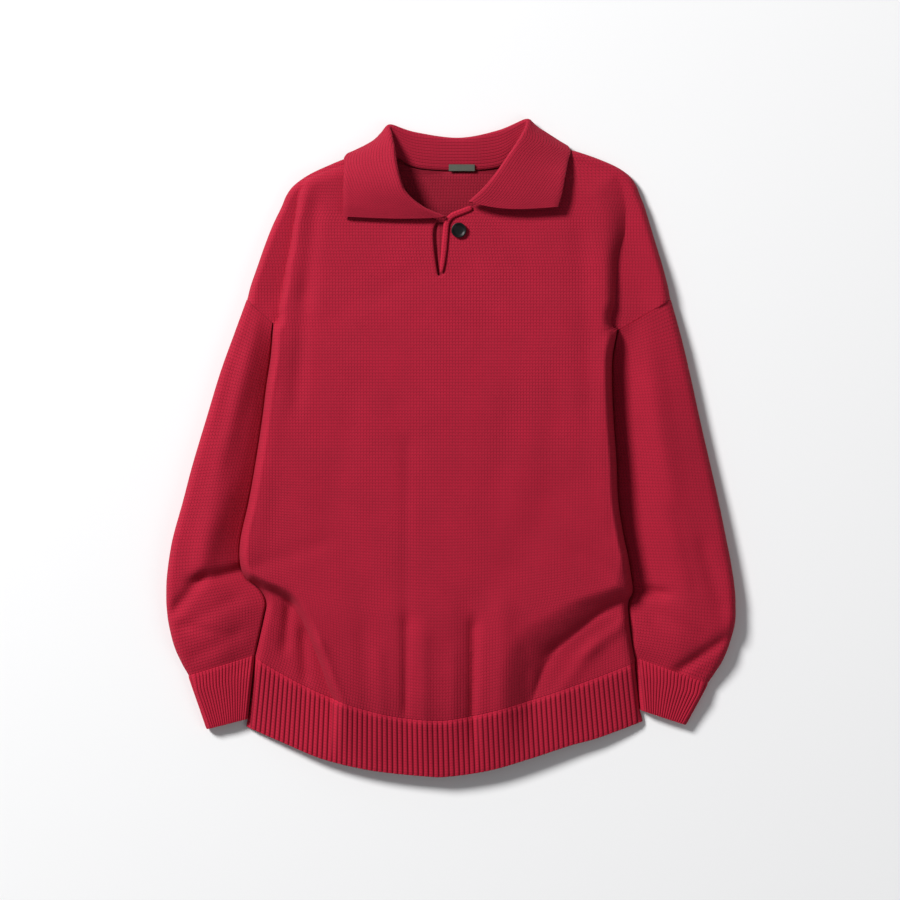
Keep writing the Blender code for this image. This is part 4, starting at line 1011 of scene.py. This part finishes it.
# %% Sections of the collar
COLLAR = [
    (-19, 267, 29.8, -9.5, 265.0, 32.6, 0, -123, 265.5, 33.0),
    (-35, 272, 29.6, -35, 276.0, 35.0, 0, -123, 282, 33.0),
    (-51, 285, 28.8, -54, 291.5, 37.0, 2, -123, 297, 31.0),
    (-59, 299, 26.6, -61.5, 307, 36.5, 8, -122.5, 311, 27.5),
    (-66, 319, 21.0, -66, 327, 31.0, 30, -122, 324, 20.0),
    (-69, 332, 15.5, -68.5, 345, 23.5, 62, -122.5, 334, 10.0),
    (-68, 335, 12.0, -71.5, 360, 15.5, 98, -115, 339, 2.2),
    (-62, 335, 9.4, -70.5, 368.8, 8.0, 135, -101, 321, 1.3),
    (-38, 323.5, 7.8, -42, 360, 4.7, 175, -62, 303, 1.3),
    (9, 320.5, 7.8, 9, 353.4, 4.5, 180, 9, 292, 1.3),
    (56, 324.5, 7.8, 55, 362, 4.7, 175, 84, 308, 1.3),
    (75, 342, 8.6, 87.0, 375.0, 8.0, 135, 119, 331, 1.3),
    (81, 345, 11.0, 89.0, 368.2, 15.5, 98, 131, 348, 2.2),
    (82, 344, 15.5, 82.5, 355.3, 23.5, 62, 137, 342, 11.5),
    (76, 325, 21.0, 71.5, 338, 31.5, 30, 134, 329, 22.0),
    (64, 306, 27.0, 56, 315.5, 37.5, 8, 130.5, 311, 33.0),
    (50, 292, 29.6, 40.5, 297, 39.0, 2, 127, 292, 37.5),
    (37, 286, 31.0, 24, 282.0, 37.5, 0, 122.5, 276.5, 38.5)]
COLLAR_WALL, FOLD_RADIUS, EDGE_DROP = 2.4, 3.2, 1.3
RIGHT_BOW, BOW_TURN, BOW_REACH = 3.0, 98, 36        # the right fall bows out over the shoulder
STAND_CELLS, FOLD_CELLS, FALL_CELLS = 8, 8, 24


def collar_section(row):
    """Points across the collar, from the sewn edge over the fold to the free edge."""
    base, fold, edge = row[0:3], row[3:6], row[7:10]
    turn = math.radians(row[6])
    side = 1.0 if row[7] > 9 else -1.0
    outwards = np.array([side * 0.55, 0.835, 0.0])
    normal = math.cos(turn) * np.array([0, 0, 1.0]) + math.sin(turn) * outwards
    away = (base + edge) / 2 - fold
    away = away - normal * np.dot(away, normal)
    away = away / np.linalg.norm(away)
    stand_end, fall_start = fold - normal * FOLD_RADIUS, fold + normal * FOLD_RADIUS
    points = [base + (stand_end - base) * t for t in np.arange(STAND_CELLS) / STAND_CELLS]
    for angle in math.pi * np.arange(FOLD_CELLS) / FOLD_CELLS:
        points.append(fold - normal * FOLD_RADIUS * math.cos(angle)
                      - away * FOLD_RADIUS * math.sin(angle))
    sink = 1.0 + 2.0 * float(soft_step((row[6] - 60) / 60))
    sag = row[10] * math.cos(turn) if turn < math.pi / 2 else 0.0
    sag -= RIGHT_BOW * max(0.0, 1 - abs(row[6] - BOW_TURN) / BOW_REACH) * (row[7] > 9)
    for t in np.concatenate([np.linspace(0, 0.92, FALL_CELLS - 4), [0.945, 0.965, 0.98, 0.992, 1]]):
        point = fall_start + (edge - fall_start) * t
        point[1] -= sag * math.sin(math.pi * t ** 0.8)
        point[2] = edge[2] + (fall_start[2] - edge[2]) * (1 - t) ** sink
        point[2] -= EDGE_DROP * math.cos(min(turn, math.pi / 2)) * max(0, (t - 0.94) / 0.06) ** 2
        points.append(point)
    return points


# %% The collar sheet
COLLAR_ROUND = 180
dense = smooth_line(COLLAR, 24)
steps = np.hypot(*np.diff(dense[:, 3:5], axis=0).T) + 0.5
length = running(steps)
wanted = np.concatenate([[0, 0.4], np.linspace(1.0, length[-1] - 1.0, COLLAR_ROUND - 3),
                         [length[-1] - 0.4, length[-1]]])
stations = np.stack([np.interp(wanted, length, dense[:, c]) for c in range(10)], -1)
leaf_left = 2.0 * soft_step(1 - wanted / 40)
leaf_right = 5.5 * soft_step(1 - (length[-1] - wanted) / 50)
stations = np.column_stack([stations, leaf_left + leaf_right])
collar_points = np.array([collar_section(row) for row in stations])
across = np.linalg.norm(np.diff(collar_points, axis=1), axis=2)
wales = running(across) / WALE
steps = np.linalg.norm(np.diff(collar_points[:, STAND_CELLS + 4], axis=0), axis=1)
courses = running(steps) / COURSE
stitch = np.stack(np.broadcast_arrays(wales, courses[:, None]), -1)
collar = cloth("collar_cloth", collar_points, stitch)
outer_points = thicken(collar, COLLAR_WALL, 0.0)
places = read_points(collar.data)
columns = collar_points.shape[1]
under_back = soft_step((stations[:, 6] - 100) / 50)
sewn = np.interp(np.arange(columns), [0, 1, 2, 3, 4], [1.0, 0.75, 0.4, 0.12, 0.0])
sinking = (under_back[:, None] * sewn[None]).ravel()
upper = places[:outer_points, 2] > places[outer_points:2 * outer_points, 2]
places[:outer_points, 2] -= sinking * np.where(upper, 1.75, 0.3)
places[outer_points:2 * outer_points, 2] -= sinking * np.where(upper, 0.3, 1.75)
places[:2 * outer_points, 1] -= 1.1 * np.tile(sinking, 2)
places[:, 2] = np.maximum(places[:, 2], 0.0)
write_points(collar.data, places)
dress(collar, collar_knit, "collar")

# %% [markdown]
# ## Placket
# The slit at the neck is closed by a band under it. The edge of the upper half is rolled
# over, so it is a thin roll of cloth that runs up the slit and in under the collar.

# %% The band under the slit
left, right, bottom, top = -29.0, 24.0, 188.0, 259.5
x, y = np.meshgrid(np.linspace(left, right, 54), np.linspace(bottom, top, 60))
slit_x = -16.9 + 2.0 * (240.8 - y) / 41.0
ridges = -1.7 * np.exp(-((x - slit_x) / 1.2) ** 2) - 0.5 * np.exp(-((x - slit_x + 5.6) / 0.9) ** 2)
band_points = np.stack([x, y, front_height(x, y) - WALL - GAP + ridges], -1)
band = cloth("placket_band", band_points, np.stack([(x - left) / WALE, y / COURSE], -1))
thicken(band, 2.0)
# The band wears the darker copy of the knit, painted shade for where it lies recessed under the slit.
dress(band, shaded_knit, "band under the slit")


# %% A roll of knitting along a line
def knit_roll(name, spine, half_width, half_height, points_round, stitches, twist=0.0, shade=0.0):
    """A tube along a line of points in millimetres, with both its ends closed.

    stitches are counted once round, twist is how far they turn for each course, and shade
    is how much painted shade darkens the roll, from 0 to 1.
    """
    ahead = np.gradient(spine, axis=0)
    ahead /= np.linalg.norm(ahead, axis=1)[:, None]
    beside = np.cross(ahead, [0, 0, 1.0])
    beside /= np.linalg.norm(beside, axis=1)[:, None]
    above = np.cross(beside, ahead)
    angles = np.linspace(0, 2 * math.pi, points_round)
    across = (half_width[:, None] * np.cos(angles))[..., None] * beside[:, None]
    upwards = (half_height[:, None] * np.sin(angles))[..., None] * above[:, None]
    points = spine[:, None] + across + upwards
    courses = running(np.linalg.norm(np.diff(spine, axis=0), axis=1))[:, None] / COURSE
    around = angles[None] / (2 * math.pi) * stitches + twist * courses
    stitch = np.stack(np.broadcast_arrays(around, courses), -1)
    item = cloth(name, points[:, ::-1], stitch[:, ::-1], closed=True,
                 layers={"painted_shade": np.full(points.shape[:2], shade)})
    select_only(item)
    bpy.ops.object.mode_set(mode="EDIT")
    bpy.ops.mesh.select_all(action="SELECT")
    bpy.ops.mesh.region_to_loop()
    bpy.ops.mesh.edge_face_add()
    bpy.ops.object.mode_set(mode="OBJECT")
    dress(item, red_rib, "roll of knitting")
    return item


# %% The rolled edge of the placket
EDGE_PATH = [(-11.0, 201), (-8.2, 226), (-6.2, 248), (-4.6, 259.0), (1.0, 266.5),
             (13.5, 271.8), (24.5, 276.2)]
EDGE_RADIUS, EDGE_HALF_WIDTH = 1.7, 3.3
path = along(smooth_line(EDGE_PATH), np.linspace(0, 1, 70))
path_z = front_height(path[:, 0], path[:, 1]) + GAP + EDGE_RADIUS * 0.8
spine = np.column_stack([path, path_z])
end_shape = np.sqrt(np.clip(1 - np.linspace(-1, 1, len(spine)) ** 24, 0.02, 1))
slimmer = np.interp(np.linspace(0, 1, len(spine)), [0, 0.12, 0.3, 1], [0.5, 0.85, 1, 1])
placket_roll = knit_roll("placket_roll", spine, EDGE_HALF_WIDTH * slimmer * end_shape,
                         EDGE_RADIUS * end_shape, 17, 4)

# %% [markdown]
# ## Seams
# Where a sleeve is sewn to the body, the yarn of the seam lies in a shallow groove. A thin
# roll of knit along the seam fills its gap as the real stitches do. It could be a dark line
# in the material, but the gap is real here, so what closes it is real too; the roll itself
# carries painted shade, more on the left.

# %% Seams of the armholes
SEAM_RADIUS = 1.3


def armhole_seam(name, side, armpit, shoulder, rings, shade):
    shares = np.linspace(0.02, 0.93, 9)[:, None]
    line = np.array(armpit) * (1 - shares) + np.array(shoulder) * shares
    line[:, 1] -= 0.2
    height = front_height(line[:, 0] - side * 1.0, line[:, 1] + 1.5) - 1.5
    spine = along(smooth_line(np.column_stack([line, height]), 8), np.linspace(0, 1, rings))
    slim = SEAM_RADIUS * np.sqrt(np.clip(1 - np.linspace(-1, 1, rings) ** 30, 0.03, 1))
    return knit_roll(name, spine, slim, slim, 11, 2, twist=0.5, shade=shade)


# Painted shade darkens both seam rolls, the left one more.
seam_left = armhole_seam("armhole_seam_left", -1, SIDE_LEFT[-1], SHOULDER_LEFT[0], 60, 0.7)
seam_right = armhole_seam("armhole_seam_right", 1, SIDE_RIGHT[-1], SHOULDER_RIGHT[0], 90, 0.2)

# %% [markdown]
# ## Button
# A small moulded button: a disc with a raised rim and a shallow dish. It starts as a
# cylinder, and the dish is made by insetting its upper face and pushing it down.

# %% The button
BUTTON_AT, BUTTON_RADIUS = (9.0, 250.0), 8.7
seat = float(front_height(np.array(BUTTON_AT[0]), np.array(BUTTON_AT[1]))) + GAP
bpy.ops.object.select_all(action="DESELECT")
bpy.ops.mesh.primitive_cylinder_add(vertices=64, radius=BUTTON_RADIUS * MM, depth=2.6 * MM,
                                    location=(BUTTON_AT[0] * MM, BUTTON_AT[1] * MM,
                                              (seat + 2.9) * MM))
button = bpy.context.object
button.name = "button_disc"


def select_faces(item, test):
    bpy.ops.object.mode_set(mode="EDIT")
    bpy.ops.mesh.select_all(action="DESELECT")
    mesh = bmesh.from_edit_mesh(item.data)
    for face in mesh.faces:
        face.select_set(test(face))
    bmesh.update_edit_mesh(item.data)


select_faces(button, lambda face: face.normal.z > 0.9)
bpy.ops.mesh.inset(thickness=1.7 * MM)
bpy.ops.mesh.inset(thickness=1.2 * MM)
bpy.ops.transform.translate(value=(0, 0, -1.1 * MM))
bpy.ops.mesh.inset(thickness=3.2 * MM)
bpy.ops.transform.translate(value=(0, 0, -0.15 * MM))
select_faces(button, lambda face: face.normal.z < -0.9)
bpy.ops.mesh.inset(thickness=6.2 * MM)
bpy.ops.mesh.extrude_region_move(TRANSFORM_OT_translate={"value": (0, 0, -1.4 * MM)})
bpy.ops.object.mode_set(mode="OBJECT")
bpy.ops.object.transform_apply(location=True, rotation=True, scale=True)
edge = button.modifiers.new("edge", "BEVEL")
edge.width, edge.segments, edge.limit_method, edge.angle_limit = 0.5 * MM, 3, "ANGLE", 0.6
bpy.ops.object.modifier_apply(modifier=edge.name)
bpy.ops.object.shade_smooth_by_angle(angle=0.7)

# %% The button's moulded plastic
button_black, shader, m = new_material("button_black")
place = m.node("ShaderNodeTexCoord")
swirl = m.noise(place.outputs["Object"], 220.0, 4.0)
m.put(shader.inputs["Base Color"], m.colour_mix(swirl, linear(2, 2, 3), linear(7, 6, 7)))
m.put(shader.inputs["Roughness"], m.plus(m.times(swirl, 0.15), 0.32))
shader.inputs["Coat Weight"].default_value = 0.05
shader.inputs["Specular IOR Level"].default_value = 0.35
shader.inputs["Coat Roughness"].default_value = 0.08
dress(button, button_black, "button")

# %% [markdown]
# ## Neck label
# A small woven label, sewn flat to the inside of the collar's stand. It is left bare.

# %% The label
LABEL_SIZE, LABEL_AT = (30.0, 7.6, 0.5), (12.5, 322.8)
x, y = np.meshgrid(LABEL_AT[0] + np.linspace(-0.5, 0.5, 41) * LABEL_SIZE[0],
                   LABEL_AT[1] + np.linspace(-0.5, 0.5, 15) * LABEL_SIZE[1])
stand = collar_points[:, :STAND_CELLS + 1].reshape(-1, 3)
near = stand[np.hypot(stand[:, 0] - LABEL_AT[0], stand[:, 1] - LABEL_AT[1]) < LABEL_SIZE[0]]
slope = np.polyfit(near[:, 1], near[:, 2], 1)
z = np.polyval(slope, y) + COLLAR_WALL / 2 + 0.15 + LABEL_SIZE[2]
label = cloth("label_cloth", np.stack([x, y, z], -1), np.stack([x, y], -1))
thicken(label, LABEL_SIZE[2])

label_weave, shader, m = new_material("label_weave")
uv = m.node("ShaderNodeUVMap", uv_map="stitch")
bands = []
for direction in ("X", "Y"):
    threads = m.node("ShaderNodeTexWave", wave_type="BANDS", bands_direction=direction)
    m.put(threads.inputs["Vector"], uv.outputs["UV"])
    m.put(threads.inputs["Scale"], 0.9)
    bands.append(threads.outputs["Fac"])
weave = m.times(*bands)
m.put(shader.inputs["Base Color"], m.colour_mix(weave, linear(76, 80, 70), linear(111, 113, 100)))
raised = m.node("ShaderNodeBump")
m.put(raised.inputs["Height"], weave)
raised.inputs["Distance"].default_value = 0.15 * MM
m.put(shader.inputs["Normal"], raised.outputs["Normal"])
shader.inputs["Roughness"].default_value = 0.7
dress(label, label_weave, "label")

# %% [markdown]
# ## Tie the pieces to the frame
# Each piece stands for its solid in the frame and rides on the frame's one body.

# %% Ride and replace
FITTED = [
    (front, "front_panel", "red_knit"), (back, "back_panel", "red_knit"),
    (hem_front, "hem_rib_front", "red_rib"), (hem_back, "hem_rib_back", "red_rib"),
    (sleeve_l, "sleeve_left", "red_knit"), (sleeve_r, "sleeve_right", "red_knit"),
    (cuff_l, "cuff_left", "red_rib"), (cuff_r, "cuff_right", "red_rib"),
    (collar, "collar", "collar_knit"), (band, "placket_under_band", "red_rib"),
    (placket_roll, "placket_edge", "red_rib"), (button, "button", "button_black"),
    (label, "neck_label", "label_weave")]
for piece, node, slot in FITTED:
    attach(piece, "root")
    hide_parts(node)
for piece in (seam_left, seam_right):
    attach(piece, "root")
print(len(FITTED) + 2, "pieces tied")

# %% [markdown]
# ## Floor, light and camera
# A plain pale floor, a large soft light from the upper left, a weak one from the lower right
# that opens the shadows, and a camera straight above, as for a catalogue picture.

# %% Floor
bpy.ops.object.select_all(action="DESELECT")
bpy.ops.mesh.primitive_plane_add(size=8.0, location=(0, 0, -0.0006))
floor = bpy.context.object
floor.name = "floor"
floor_paint, shader, _ = new_material("floor_paint")
shader.inputs["Base Color"].default_value = (0.86, 0.86, 0.86, 1)
shader.inputs["Roughness"].default_value = 0.9
floor.data.materials.append(floor_paint)


# %% Light
def area_light(name, place, size, power):
    light = bpy.data.lights.new(name, "AREA")
    light.shape, light.size, light.energy = "DISK", size, power
    item = bpy.data.objects.new(name, light)
    item.location = place
    item.rotation_euler = (-Vector(place)).to_track_quat("-Z", "Y").to_euler()
    bpy.context.scene.collection.objects.link(item)


area_light("key_light", (-4.5, 3.9, 4.5), 2.1, 790.0)
area_light("fill_light", (2.6, -1.4, 2.8), 2.0, 14.0)
world = bpy.data.worlds.new("studio")
world.use_nodes = True
world.node_tree.nodes["Background"].inputs["Color"].default_value = (0.95, 0.96, 1.0, 1)
world.node_tree.nodes["Background"].inputs["Strength"].default_value = 0.2
bpy.context.scene.world = world

# %% Camera
DISTANCE, FRAME_WIDTH, SENSOR = 6.0, 1.035, 36.0
VIEW_X, VIEW_Y, VIEW_Z = -0.00115, -0.0023, 0.02
camera_data = bpy.data.cameras.new("camera")
camera_data.sensor_width = SENSOR
camera_data.lens = SENSOR * DISTANCE / FRAME_WIDTH
camera = bpy.data.objects.new("camera", camera_data)
camera.location = (VIEW_X, VIEW_Y, DISTANCE + VIEW_Z)
camera.rotation_euler = (0, 0, 0)
bpy.context.scene.collection.objects.link(camera)
bpy.context.scene.camera = camera
bpy.context.scene.view_settings.view_transform = "Standard"
